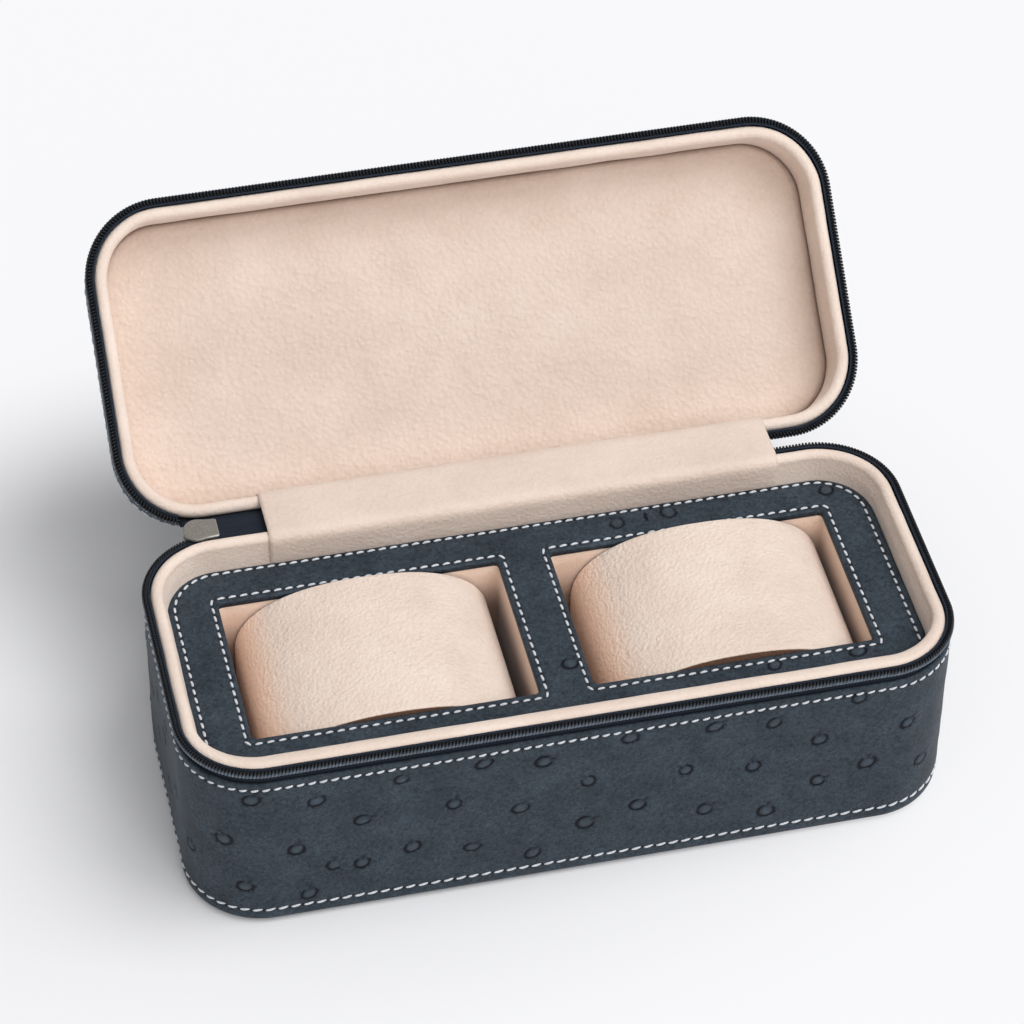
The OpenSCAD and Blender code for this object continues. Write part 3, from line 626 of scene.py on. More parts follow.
def tape_band(name, height, to_body, swell):
    """The tape round a shell, from inside the leather to under the coil, as a thin closed
    profile that bows out by swell above the leather."""
    t = np.linspace(0, 1, 24)
    z = height - TAPE_LOW + t * (TAPE_LOW - TAPE_TOP)
    bow = swell * np.sin(math.pi * np.clip((t - 0.55) / 0.45, 0, 1))
    inset = np.concatenate([TAPE_IN - bow, (TAPE_IN + TAPE_T - bow)[::-1]])
    z = np.concatenate([z, z[::-1]])
    s = zip_start + np.linspace(0, zip_run, 380)[:, None]
    points = to_body(round_case(s, 0 * s + inset, z))
    weave = np.stack(np.broadcast_arrays(s, z, 0.0), -1)
    return piece(name, points, tube(len(s), len(z)), zip_tape, weave=weave)


def wound_wire(centre, radial, wire, material, name, sides=6, shade=0.0, flat=1.0):
    """A tube along a line of points, whose rings face across the line and start at the
    radial direction, with both ends closed. Its radius and shade may vary along it, and
    it is pressed wider by flat across the radial direction."""
    wire = np.broadcast_to(wire, len(centre))[:, None, None]
    shade = np.repeat(np.broadcast_to(shade, len(centre)), sides)
    way = unit(np.gradient(centre, axis=0))
    across = unit(np.cross(way, radial))
    radial, turn = np.cross(across, way)[:, None], circle(sides)[:, None]
    ring_points = radial * np.cos(turn) + across[:, None] * flat * np.sin(turn)
    points, faces = centre[:, None] + wire * ring_points, tube(len(centre), sides)
    return piece(name, points, faces, material, shade=shade)


def coil_row(name, height, to_body, inset, reach):
    """One wire wound along the shell: an ellipse across the zip, a pitch for each turn.
    It is pressed wider at the foot of each turn and thin at its head, which is painted dark with shade."""
    turns = int(zip_run / COIL_PITCH)
    phase = np.linspace(0, 2 * math.pi * turns, turns * 11 + 1)
    s = zip_start + phase / (2 * math.pi) * COIL_PITCH
    out, rise = reach * np.cos(phase), np.sin(phase)
    # Painted shade: the upper part of each turn is darkened towards black.
    middle, shade = height - COIL_DROP, np.clip(0.3 + 0.9 * rise, 0, 1)
    centre, outer = (
        to_body(round_case(s, inset - k * out, middle + COIL_RISE * k * rise)) for k in (1, 1.1)
    )
    wire = WIRE_R * (1 - WIRE_TAPER * rise)
    return wound_wire(centre, outer - centre, wire, zip_coil, name, shade=shade, flat=1.45)


def coil_cord(name, height, to_body):
    """The cord that the coil is wound on, which closes the view through its loops."""
    s = zip_start + np.linspace(0.4, zip_run - 0.4, 380)
    middle = 0 * s + height - COIL_DROP
    centre, above = (to_body(round_case(s, 0 * s + CORD_INSET, z)) for z in (middle, middle + 1))
    return wound_wire(centre, above - centre, 0.45, zip_tape, name, 8)


def zip_side(body, height, to_body, inset, reach, swell):
    """Tape, coil and cord of one half of the zip. The coil lies inset from the case's
    outline and reaches that far in and out."""
    place(tape_band(f"{body}_tape", height, to_body, swell), body, "zip_tape", f"{body}_zip_tape")
    place(coil_row(f"{body}_coil", height, to_body, inset, reach), body, "zip_coil", f"{body}_zip_coil")
    place(coil_cord(f"{body}_coil_cord", height, to_body), body, "zip_tape")


zip_side("base", BASE_HEIGHT, in_base, 0.3, 0.55, 0.25)

# ---- Lining of the base ----
# Cream suede glued to the board inside the walls and rolled over a cord along the rim,
# and a loose piece of it on the floor under the insert.
LINING_OUT, LINING_IN, LINING_LOW, ROLL_R, ROLL_INSET = 3.2, 4.2, 3.2, 1.7, 3.6


def suede_finish(name, light, dark, grain, nap, relief=0.5):
    """Brushed suede or soft grained leather: pebbles of the given size in mm as bump,
    fine nap that scatters light, and faint cloudy shading of the colour. The shade
    attribute browns it with painted shade in creases and shadowed hollows, and the
    blush attribute warms it with painted bounce light where two pieces face each other closely."""
    sheen = {"Sheen_Weight": 0.35, "Sheen_Roughness": 0.45}
    finish = Finish(name, Roughness=0.86, Specular_IOR_Level=0.25, **sheen)
    calc, tree, here = finish.math, finish.tree, finish.here
    clouds, fibres = finish.noise(45, 5, Roughness=0.62), finish.noise(2200, 4, Roughness=0.7)
    bent = add(tree, "TexNoise", {"Vector": here, "Scale": 480 / grain, "Detail": 2}).outputs["Color"]
    cells = {"Vector": finish.mix(0.0012, here, bent, "ADD"), "Scale": 1000 / grain, "Smoothness": 0.6}
    pebbles = add(tree, "TexVoronoi", cells, feature="SMOOTH_F1").outputs["Distance"]
    mixed = calc("MULTIPLY_ADD", fibres, 0.35, calc("MULTIPLY", clouds, 0.65))
    mixed = calc("MULTIPLY_ADD", pebbles, -0.12, mixed)
    colour = finish.ramp(mixed, (0.3, dark), (0.58, light))
    colour = finish.mix(finish.attribute("blush"), colour, srgb(253, 224, 203))
    colour = finish.mix(finish.attribute("shade"), colour, srgb(112, 78, 58))
    height = calc("MULTIPLY_ADD", fibres, nap, calc("MULTIPLY", pebbles, -1.0))
    return finish.wear(colour, height, relief, 0.0003 * grain)


rim_suede = suede_finish("cream_suede", srgb(244, 227, 214), srgb(231, 211, 197), 0.9, 0.7)


def lining_wall(body, height, to_body, hold, swell=0.0, front=0.0):
    """Suede carried round the case: up the padded inner face of the wall, over the round
    roll on the rim and back down between roll and board. The padding is as thick as the
    roll near the rim, a little thicker on the short sides, and thins out below hold. The
    roll's inner half reaches further in along the front."""
    turn = np.radians(np.linspace(-8, 232, 26))
    low, roll_z = LINING_LOW, height - ROLL_R
    face = np.concatenate([np.linspace(low, hold, 10), np.linspace(hold + 0.7, roll_z - 1.0, 10)])
    back = np.linspace(roll_z - 2.2, low, 4)
    roll_inset = ROLL_INSET + ROLL_R * np.cos(turn)
    inset = np.concatenate([0 * face + LINING_IN + 0.1, roll_inset, 0 * back + LINING_OUT])
    z = np.concatenate([face, roll_z + ROLL_R * np.sin(turn), back])
    s = around_plain[:, None]
    _, normal = ring(s[:, 0], HALF_X, HALF_Y, CORNER)
    up = np.clip((z - low) / (hold - low), 0, 1)
    ease = up * up * (3 - 2 * up) * (np.arange(len(z)) < len(face))
    near_rim = np.clip((roll_z - z) / 4, 0, 1)
    padding = ROLL_INSET + ROLL_R - LINING_IN - 0.16 + swell * normal[:, :1] ** 2 * near_rim
    soft = uneven(s, z, 31, 14, 0.07) * np.clip((z - low) / 4, 0, 1) + padding * ease
    inner_half = np.concatenate([0 * face, np.clip(np.cos(turn), 0, 1), 0 * back])
    along_front = np.clip(-normal[:, 1:2], 0, 1) ** 2
    points = to_body(round_case(s, inset + soft + front * along_front * (inner_half + ease), z))
    lining = piece(f"{body}_lining", points, grid(len(s), len(z), True, True), rim_suede)
    place(lining, body, "cream_suede", f"{body}_lining_wall")


lining_wall("base", BASE_HEIGHT, in_base, 49.0, 0.9, 1.5)

# ---- Insert ----
# One piece of the embossed leather over card, with two windows. It is turned down over
# every edge and sewn round the outside and round each window.
INSERT_X, INSERT_Y, INSERT_R, INSERT_TOP, INSERT_LOW = 98.8, 39.45, 15.0, 49.7, 47.7
WINDOW_X, WINDOW_Y, WINDOW_R, WINDOW_AT, WINDOW_BACK = 38.7, 25.4, 1.2, 46.0, 1.7
EDGE_LOOP = (96.6, 38.15, 13.1, 0.0, 0.0)
WINDOW_LOOP, LOOP_BACK = (WINDOW_X + 1.7, WINDOW_Y + 1.9, 1.6), WINDOW_BACK - 0.2


def box_distance(x, y, half_x, half_y, corner):
    """Distance outside a rectangle with round corners, negative inside it."""
    qx, qy = abs(x) - (half_x - corner), abs(y) - (half_y - corner)
    outside = np.hypot(np.maximum(qx, 0), np.maximum(qy, 0))
    return outside + np.minimum(np.maximum(qx, qy), 0) - corner


def rounded(d, radius):
    """How far a round edge has fallen at distance d inside it: radius less the root of
    radius^2 - (radius - d)^2, and nothing beyond the radius."""
    return radius - np.sqrt(np.maximum(radius**2 - np.maximum(radius - d, 0) ** 2, 0))


def ring_place(x, y, half_x, half_y, corner):
    """Distance s along a rectangle with round corners of the point nearest to x, y: the
    side it faces, then its place on that side or its angle in that corner."""
    core_x, core_y = half_x - corner, half_y - corner
    px, py = np.clip(x, -core_x, core_x), np.clip(y, -core_y, core_y)
    dx, dy = x - px, y - py
    inside = (dx == 0) & (dy == 0)
    to_side = core_y - abs(y) < core_x - abs(x)
    dx = np.where(inside & ~to_side, np.sign(x), dx)
    dy = np.where(inside & to_side, np.sign(y), dy)
    angle = np.mod(np.arctan2(dy, dx) + math.pi / 2, 2 * math.pi)
    side = np.floor(angle / (math.pi / 2) + 1e-9).astype(int) % 4
    turn = angle - side * math.pi / 2
    along = np.choose(side, [px + core_x, py + core_y, core_x - px, core_y - py])
    lengths = 2 * np.array([core_x, core_y, core_x, core_y])
    starts = np.concatenate([[0], np.cumsum(lengths + math.pi / 2 * corner)[:-1]])
    return starts[side] + np.where(turn > 1e-9, lengths[side] + turn * corner, along)


def with_lines(low, high, step, *edges):
    """Grid lines at about the step, with extra ones close on each side of the edges."""
    lines = set()
    stops = sorted({low, high, *edges})
    for a, b in zip(stops, stops[1:]):
        lines.update(np.round(np.linspace(a, b, 2 + int((b - a) / step)), 4))
        for near in (0.12, 0.32, 0.65, 1.1):
            lines.update((round(a + near, 4), round(b - near, 4)))
    lines = np.array(sorted(lines))
    return lines[np.concatenate([[True], np.diff(lines) > 0.07])]


def insert_leather():
    """The insert's leather on a grid with lines close along every edge. Near an edge at
    distance d it falls as a quarter circle, and beneath it is hollow for the card."""
    core = INSERT_Y - INSERT_R
    arc = core + INSERT_R * np.sin(np.radians(np.linspace(0, 90, 27)))
    y_lines = with_lines(-core, core, 0.62, WINDOW_BACK - WINDOW_Y)
    extra = WINDOW_BACK + WINDOW_Y + np.array([-0.3, -0.1, 0, 0.12, 0.35, 0.7])
    y = np.unique(np.round(np.concatenate([-arc, y_lines, arc, extra]), 4))
    y = y[np.concatenate([[True], np.diff(y) > 0.03]) | np.isin(y, np.round(extra, 4))]
    sides = [k * WINDOW_AT + e * WINDOW_X for k in (-1, 1) for e in (-1, 1)]
    x = with_lines(-INSERT_X, INSERT_X, 0.66, *sides)
    hold = WINDOW_AT + WINDOW_X + 0.1
    beyond = np.clip(abs(y) - core, 0, INSERT_R)
    reach = INSERT_X - INSERT_R + np.sqrt(np.maximum(INSERT_R**2 - beyond**2, 0))
    past = np.maximum(abs(x) - hold, 0) / (INSERT_X - hold)
    gx = np.sign(x) * (np.minimum(abs(x), hold) + past * np.clip(reach[:, None] - hold, 0.02, None))
    gy = np.broadcast_to(y[:, None], gx.shape).copy()
    mid_x, mid_y = (x[1:] + x[:-1]) / 2, (y[1:] + y[:-1]) / 2
    open_x = abs(abs(mid_x) - WINDOW_AT) < WINDOW_X
    open_y = abs(mid_y - WINDOW_BACK) < WINDOW_Y
    keep = ~(open_x[None, :] & open_y[:, None])
    wx, wy = abs(gx) - WINDOW_AT, gy - WINDOW_BACK
    from_window = box_distance(wx, wy, WINDOW_X, WINDOW_Y, WINDOW_R)
    level = (abs(abs(wy) - WINDOW_Y) < 1e-6) & (abs(wx) <= WINDOW_X + 1e-6)
    upright = (abs(abs(wx) - WINDOW_X) < 1e-6) & (abs(wy) <= WINDOW_Y + 1e-6)
    at_level, at_upright = rounded(WINDOW_X - abs(wx), WINDOW_R), rounded(WINDOW_Y - abs(wy), WINDOW_R)
    most = 0.35
    gy -= np.sign(wy) * np.minimum(at_level, most) * level
    gx -= np.sign(gx) * np.sign(wx) * np.minimum(at_upright, most) * upright

    from_outline = -box_distance(gx, gy, INSERT_X, INSERT_Y, INSERT_R)
    d = np.maximum(np.minimum(from_window, from_outline), 0)
    soft, drop, hollow = 0.9, 0.55, 0.85
    quills = [(2.8, -15.1), (55.9, -27.5), (79.0, -27.3), (28.1, 34.1)]
    quills += [(38.3, 35.1), (42.9, 35.3), (88.1, 34.4)]
    relief, mark = quill_marks(gx, gy, quills, 41)
    mark[..., 2] *= 0.75
    loops = (gx, gy, EDGE_LOOP[:3]), (gx - np.sign(gx) * WINDOW_AT, gy - LOOP_BACK, WINDOW_LOOP)
    to_edge, to_window = (box_distance(u, v, *loop) for u, v, loop in loops)
    phases = []
    for u, v, loop in loops:
        length = ring_length(*loop)
        phases.append(ring_place(u, v, *loop) / length * round(length / INSERT_PITCH))
    by_edge = abs(to_edge) < abs(to_window)
    across = np.where(by_edge, to_edge, to_window)
    puff = 0.1 * np.clip(d / 3, 0, 1) - 0.2 * np.exp(-((across / CHANNEL) ** 2))
    surface = (relief + uneven(gx, gy, 43, 9, 0.03)) * np.clip(d, 0, 1)
    top = INSERT_TOP - drop * rounded(d, soft) / soft - 0.1 + puff + surface
    low = np.where(d < 0.5, INSERT_LOW, INSERT_TOP - hollow)
    points, faces = slab(gx, gy, top, low, keep)
    row = np.stack([np.where(by_edge, *phases), across, 0 * across], -1).reshape(-1, 3)
    values = plain_leather(points, mark=mark.reshape(-1, 3), row=row)
    return piece("insert_cover", points, faces, navy_leather, **values)


place(insert_leather(), "base", "navy_leather", "insert_leather")


def flat_stitches(name, loops):
    """Stitches along flat loops on the insert, each in the middle of its pitch."""
    at, along = [], []
    for half_x, half_y, corner, centre_x, centre_y in loops:
        length = ring_length(half_x, half_y, corner)
        count = round(length / INSERT_PITCH)
        s = (np.arange(count) + 0.5) / count * length
        point, normal = ring(s, half_x, half_y, corner)
        flat = np.full((count, 1), INSERT_TOP - 0.08)
        at.append(np.concatenate([point + (centre_x, centre_y), flat], 1))
        along.append(np.stack([-normal[:, 1], normal[:, 0], 0 * s], -1))
    at, along = np.concatenate(at), np.concatenate(along)
    out = np.broadcast_to([0.0, 0.0, 1.0], at.shape)
    return stitch_row(name, at, along, out, 2.4, 0.1)


window_loops = [(*WINDOW_LOOP, side * WINDOW_AT, LOOP_BACK) for side in (-1, 1)]
place(flat_stitches("insert_edge_thread", [EDGE_LOOP]), "base", "white_thread", "insert_edge_stitching")
place(flat_stitches("insert_window_thread", window_loops), "base", "white_thread", "insert_window_stitching")

# ---- Wells ----
# Open boxes of card faced with the same suede, under the windows. The pillows stand in
# them, and their walls show past the pillows' ends.
WELL_X, WELL_Y, WELL_BACK, WELL_FLOOR, WELL_CARD = 38.9, 25.5, 1.75, 5.2, 1.0
well_suede = suede_finish("well_suede", srgb(243, 218, 200), srgb(232, 204, 184), 0.7, 0.7)


def capped(loops, *poles):
    """Points and faces of a body through loops of points, whose first and last loop
    close on a pole each."""
    points = np.concatenate([*loops, poles])
    count, last = len(loops[0]), (len(loops) - 1) * len(loops[0])
    i = np.arange(count)
    j = (i + 1) % count
    first = np.stack([j, np.full(count, len(points) - 2), i], -1)
    final = np.stack([i + last, np.full(count, len(points) - 1), j + last], -1)
    return points, [grid(len(loops), count, close_cols=True), first, final]


def well(side):
    """A box with soft inner corners: rings from the outer foot, up, over the rounded lip
    and down inside to the floor, which closes on its middle; the underside is flat.
    Painted shade browns the suede with depth, towards the dark crevice by the pillow."""
    s = np.linspace(0, 1, 180, endpoint=False)
    low, high = 4.2, INSERT_LOW - 0.05
    heights = np.linspace(high - 0.4, WELL_FLOOR + 0.9, 14)
    rows = [(WELL_CARD, z) for z in (low, high - 0.4)] + [(0.8, high - 0.1), (0.5, high), (0.2, high - 0.1)]
    rows += [(0.0, z) for z in heights] + [(-0.25, WELL_FLOOR + 0.25), (-1.2, WELL_FLOOR)]
    loops = []
    for out, z in rows:
        size = (WELL_X + out, WELL_Y + out, max(1.6 + out, 0.5))
        point, _ = ring(s * ring_length(*size), *size)
        loops.append(np.concatenate([point, np.full((len(s), 1), z)], 1))
    loops.append(np.concatenate([loops[-1][:, :2] * 0.5, np.full((len(s), 1), WELL_FLOOR)], 1))
    points, faces = capped(loops, (0, 0, low), (0, 0, WELL_FLOOR))
    # Painted shade: the walls brown towards the floor, as if in the crevice's shadow.
    shade = np.clip((43 - points[:, 2]) / 14, 0, 0.8)
    return points + (side * WINDOW_AT, WELL_BACK, 0), faces, shade


for side, word in ((-1, "left"), (1, "right")):
    points, faces, shade = well(side)
    box = piece(f"{word}_well", points, faces, well_suede, shade=shade)
    place(box, "base", "cream_suede", f"{word}_well_liner")

# ---- Pillows ----
# Foam blocks with an arched top, wrapped once in suede, with a flat end sewn in at the
# front and the back. They stand loose in the wells.
PILLOW_HALF, PILLOW_DEEP, PILLOW_BACK, PILLOW_LOW, PILLOW_SHOULDER = 35.3, 24.9, 1.6, 5.4, 31.0
PILLOW_POWER, PILLOW_FOOT = 2.3, 8.0
pillow_suede = suede_finish("pillow_suede", srgb(245, 229, 216), srgb(230, 209, 194), 1.0, 0.6, 0.95)


def pillow(name, centre_x, crown_back, crown_front):
    """Arch, sides, round feet and flat bottom as one closed profile, carried from front
    to back. The ends close on their middle, and the edge between wrap and end is rounded.
    The crown's height goes from crown_front to crown_back."""
    a = np.linspace(0, math.pi, 73)
    arch_x = np.sign(np.cos(a)) * abs(np.cos(a)) ** (2 / PILLOW_POWER) * PILLOW_HALF
    arch_z = np.sin(a) ** (2 / PILLOW_POWER)
    side_z = np.linspace(PILLOW_SHOULDER, PILLOW_LOW + PILLOW_FOOT, 9)[1:]
    foot = np.radians(np.linspace(0, 90, 8))[1:]
    foot_x = PILLOW_HALF - PILLOW_FOOT * (1 - np.cos(foot))
    foot_z = PILLOW_LOW + PILLOW_FOOT * (1 - np.sin(foot))
    base_x = np.linspace(-(PILLOW_HALF - PILLOW_FOOT), PILLOW_HALF - PILLOW_FOOT, 16)[1:-1]
    x = [arch_x, np.full(8, -PILLOW_HALF), -foot_x, base_x, foot_x[::-1], np.full(7, PILLOW_HALF)]
    z = [PILLOW_SHOULDER + 0 * a, side_z, foot_z, 0 * base_x + PILLOW_LOW, foot_z[::-1], side_z[:0:-1]]
    x, z = np.concatenate(x), np.concatenate(z)
    above = np.concatenate([arch_z, np.zeros(len(z) - len(a))])
    edge, half_high = 0.45, 23.0
    turn = np.radians(np.linspace(0, 90, 5))
    y_rows = [(-PILLOW_DEEP + edge * (1 - math.sin(t)), edge * (1 - math.cos(t))) for t in turn[::-1]]
    inner = [(y, 0.0) for y in np.linspace(-PILLOW_DEEP + edge, PILLOW_DEEP - edge, 32)[1:-1]]
    rows = y_rows + inner + [(-y, i) for y, i in y_rows[::-1]]
    loops = []
    middle_z = (PILLOW_LOW + PILLOW_SHOULDER) / 2
    for y, inset in rows:
        share = (y + PILLOW_DEEP) / (2 * PILLOW_DEEP)
        rise = crown_front + (crown_back - crown_front) * share - PILLOW_SHOULDER
        from_middle = (z + above * rise - middle_z) * (1 - inset / half_high)
        loops.append(np.stack([x * (1 - inset / PILLOW_HALF), 0 * x + y, middle_z + from_middle], -1))
    ends, bulge = [], 0.25
    for loop, side in ((loops[0], -1), (loops[-1], 1)):
        for k in (0.9, 0.7, 0.45, 0.2):
            y = side * (PILLOW_DEEP + bulge * (1 - k**2))
            ends.append(np.stack([loop[:, 0] * k, 0 * x + y, middle_z + (loop[:, 2] - middle_z) * k], -1))
    loops = ends[3::-1] + loops + ends[4:]
    points, faces = capped(loops, *((0, side * (PILLOW_DEEP + bulge), middle_z) for side in (-1, 1)))
    # Painted shade: the end faces and the rows beside them are browned, as if in the shadow of the well.
    shade, painted_shade_rows = np.ones((len(loops), len(x))), len(ends) // 2 + 2
    shade[painted_shade_rows:-painted_shade_rows] = 0
    # Painted bounce light: the left flank is warmed, as if lit by light thrown back from the suede beside
    # it.
    blush = np.clip((-0.74 * PILLOW_HALF - points[:, 0]) / 5, 0, 1)
    points = points + (centre_x, PILLOW_BACK, 0)
    made = piece(name, points, faces, pillow_suede, shade=np.append(shade, [1, 1]), blush=blush)
    return made


for word, centre_x, back, front in (("left", -45.6, 52.2, 50.6), ("right", 48.6, 53.0, 51.3)):
    made = pillow(f"{word}_pillow_cushion", centre_x, back, front)
    nodes = [f"{word}_pillow_{part}" for part in ("wrap", "ends", "foam")]
    place(made, f"{word}_pillow", "cream_suede", *nodes)

# ---- Lid ----
# The lid is a shallower shell made like the base: leather outside, thread, zip and
# lining. It is worked out rim up, put onto the base upside down and swung open.
OPEN = math.radians(137.3)
HINGE_Y, HINGE_Z = HALF_Y + 3.0, BASE_HEIGHT - 2.8
LID_TOP = BASE_HEIGHT + RIM_GAP + LID_HEIGHT
LID_DRAFT = 0.55


def opened(y, z):
    """The place after opening of a shut lid's point y, z: turned back about the hinge."""
    dy, dz = y - HINGE_Y, z - HINGE_Z
    turned_y = HINGE_Y + dy * math.cos(OPEN) + dz * math.sin(OPEN)
    return turned_y, HINGE_Z - dy * math.sin(OPEN) + dz * math.cos(OPEN)


def in_lid(points):
    """A point of the lid drawn rim up: turned over onto the base, then swung open."""
    x, y, z = np.moveaxis(points, -1, 0)
    return np.stack([x, *opened(y, LID_TOP - z)], -1)


lid_quills = scattered(0, case_round - 9, 8.5, 15.5, 16.5, 51)
leather_wall("lid", LID_HEIGHT, lid_quills, 52, in_lid, LID_DRAFT)
lid_top = leather_panel("lid_leather_cover", scattered(-88, 88, -28, 28, 17.5, 55), 56, in_lid)
place(lid_top, "lid", "navy_leather", "lid_leather_top")
wall_threads("lid", LID_HEIGHT, in_lid, LID_DRAFT)
zip_side("lid", LID_HEIGHT, in_lid, 0.2, 0.75, 0.5)
lining_wall("lid", LID_HEIGHT, in_lid, 19.0)

# ---- Lid panel ----
# A suede panel over thin foam, pressed into the lid, so that it swells a little in the
# middle and rolls down where it meets the walls.
PANEL_Z, PANEL_DEEP = 7.5, 4.2
panel_suede = suede_finish("panel_suede", srgb(233, 214, 201), srgb(220, 199, 184), 1.4, 0.4, 1.0)


def lid_panel():
    """Height over the panel: falls as a quarter ellipse within 2.5 mm of its edge, and
    rises by a slow swell towards the middle. The crease along its edge is browned with painted shade."""
    half_x, half_y, corner = HALF_X - LINING_IN, HALF_Y - LINING_IN, CORNER - LINING_IN
    x, y = rounded_grid(half_x, half_y, corner, 1.3)
    d = np.maximum(-box_distance(x, y, half_x, half_y, corner), 0)
    fall = 0.3 * rounded(d, 2.5)
    swell = 0.5 * (1 - np.exp(-d / 9)) + uneven(x, y, 61, 26, 0.12)
    top = PANEL_Z - fall + swell * np.clip(d / 3, 0, 1)
    points, faces = slab(x, y, top, PANEL_Z - PANEL_DEEP + 0.1)
    # Painted shade: browned in the crease along the panel's edge.
    shade = np.tile(0.9 * np.exp(-((d / 1.1) ** 2)).ravel(), 2)
    made = piece("lid_panel", in_lid(points), faces, panel_suede, shade=shade)
    return made


place(lid_panel(), "lid", "cream_suede", "lid_lining_panel")

# ---- Hinge ----
# A wide strip of suede runs from behind the insert over both rims into the lid, and a
# strip of the leather behind it is sewn into both shells and carries the lid.
GUSSET_LEFT, GUSSET_RIGHT, GUSSET_T = -68.0, 75.0, 0.7
SPINE_LEFT, SPINE_RIGHT, SPINE_T = -64.0, 71.0, 0.5


def smooth_line(stops, count):
    """Points at even distances along a line through stops, its corners cut by averaging
    each point with its neighbours."""
    stops = np.array(stops)
    run = np.concatenate([[0], np.cumsum(np.linalg.norm(np.diff(stops, axis=0), axis=1))])
    t = np.linspace(0, run[-1], count)
    line = np.stack([np.interp(t, run, stops[:, k]) for k in (0, 1)], -1)
    for _ in range(6):
        line[1:-1] = (line[:-2] + 2 * line[1:-1] + line[2:]) / 4
    return line, run[-1]


def strip(name, stops, left, right, thick, material, wave, values_for=None, count=90):
    """A strip of even thickness carried along X, on a smooth line through stops (y, z),
    with a faint wave across and rounded long edges. values_for gives the attributes of
    its points. It returns the strip's length too."""
    line, length = smooth_line(stops, count)
    way = unit(np.gradient(line, axis=0))
    up = np.stack([-way[:, 1], way[:, 0]], -1)
    x = np.linspace(left, right, 2 + int((right - left) / 1.2))
    t = np.linspace(0, 1, count)[:, None]
    lift = uneven(x, t * length, 71, 24, wave) * np.sin(math.pi * t)
    edge = np.clip(np.minimum(x - left, right - x) / 0.6, 0, 1)
    half = thick / 2 * np.sqrt(1 - (1 - edge) ** 2 * 0.75)
    sheets = []
    for off in (lift + half, lift - half):
        y, z = (line[:, k, None] + up[:, k, None] * off for k in (0, 1))
        sheets.append(np.stack([np.broadcast_to(x, y.shape), y, z], -1).reshape(-1, 3))
    points, faces = thin_body(*sheets, grid(count, len(x)))
    values = values_for(points) if values_for else {}
    return piece(name, points, faces, material, **values), length


def lid_point(y, z):
    """A place on the back wall of the open lid, given on the base as its mirror image."""
    return opened(y, 2 * BASE_HEIGHT + RIM_GAP - z)


roll_z = BASE_HEIGHT - ROLL_R
bend_r = ROLL_R + 0.2 + GUSSET_T / 2
inner_y = HALF_Y - ROLL_INSET - ROLL_R - 0.05 - GUSSET_T / 2
base_roll = np.array([HALF_Y - ROLL_INSET, roll_z])
lid_roll = np.array(lid_point(*base_roll))
gusset_stops = [(inner_y + 1.0, 45.7), (inner_y + 0.7, 48.6), (inner_y, 50.6), (inner_y, 53.2)]
for roll, *turn in ((base_roll, 180, 90, 12), (lid_roll, 90, 42.7, 8)):
    for a in np.radians(np.linspace(*turn)):
        gusset_stops.append(tuple(roll + bend_r * np.array([math.cos(a), math.sin(a)])))
gusset_stops += [lid_point(inner_y, 53.2), opened(inner_y + 0.2, 71.0), opened(inner_y + 0.4, 76.0)]
gusset_suede = suede_finish("gusset_suede", srgb(237, 219, 206), srgb(223, 203, 189), 1.1, 0.6)
gusset, gusset_length = strip(
    "hinge_suede", gusset_stops, GUSSET_LEFT, GUSSET_RIGHT, GUSSET_T, gusset_suede, 0.12
)
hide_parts("hinge_gusset")
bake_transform(gusset)

spine_y = HALF_Y - TAPE_IN - TAPE_T / 2
spine_from, spine_to = np.array([spine_y, 55.5]), np.array(lid_point(spine_y, 55.5))
pull = 3.0
pulled_lid = spine_to - pull * np.array([math.sin(OPEN), math.cos(OPEN)])
controls = spine_from, spine_from + (0, pull), pulled_lid, spine_to
t = np.linspace(0, 1, 13)[:, None]
bow = sum(math.comb(3, k) * (1 - t) ** (3 - k) * t**k * at for k, at in enumerate(controls))
spine_stops = [(spine_y, 48.1)] + [tuple(p) for p in bow] + [lid_point(spine_y, 48.1)]
spine, spine_length = strip(
    "hinge_leather", spine_stops, SPINE_LEFT, SPINE_RIGHT, SPINE_T, navy_leather, 0.05, plain_leather
)
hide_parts("hinge_spine")
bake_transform(spine)

# ---- Joined end of the zip ----
# Between the slider and the gusset the two halves of the zip are joined: the tapes come
# up out of both walls and meet with both coils meshed on them, and a metal stop ends them.
CHAIN_MID = np.array([47.5, 56.75])
CHAIN_LEFT, CHAIN_RIGHT, CHAIN_HALF, CHAIN_T = -86.4, -65.0, 3.9, 0.55


def on_chain(points):
    """Points drawn about the middle of the joined zip, moved into place."""
    return points + np.array([0, *CHAIN_MID])


def joined_tape():
    """The two tapes as one thin plate with a fold along the middle and a cord on each
    side of it."""
    x, y = np.linspace(CHAIN_LEFT, CHAIN_RIGHT, 40), np.linspace(-CHAIN_HALF, CHAIN_HALF, 36)
    x, y = np.meshgrid(x, y, indexing="ij")
    dip = 0.08 * np.exp(-((y / 0.4) ** 2))
    cords = 0.3 * np.exp(-(((abs(y) - 1.3) / 0.45) ** 2))
    points, faces = slab(x, y, CHAIN_T / 2 - dip + cords, -CHAIN_T / 2 + dip)
    return piece("zip_joined_tape", on_chain(points), faces, zip_tape, weave=points)


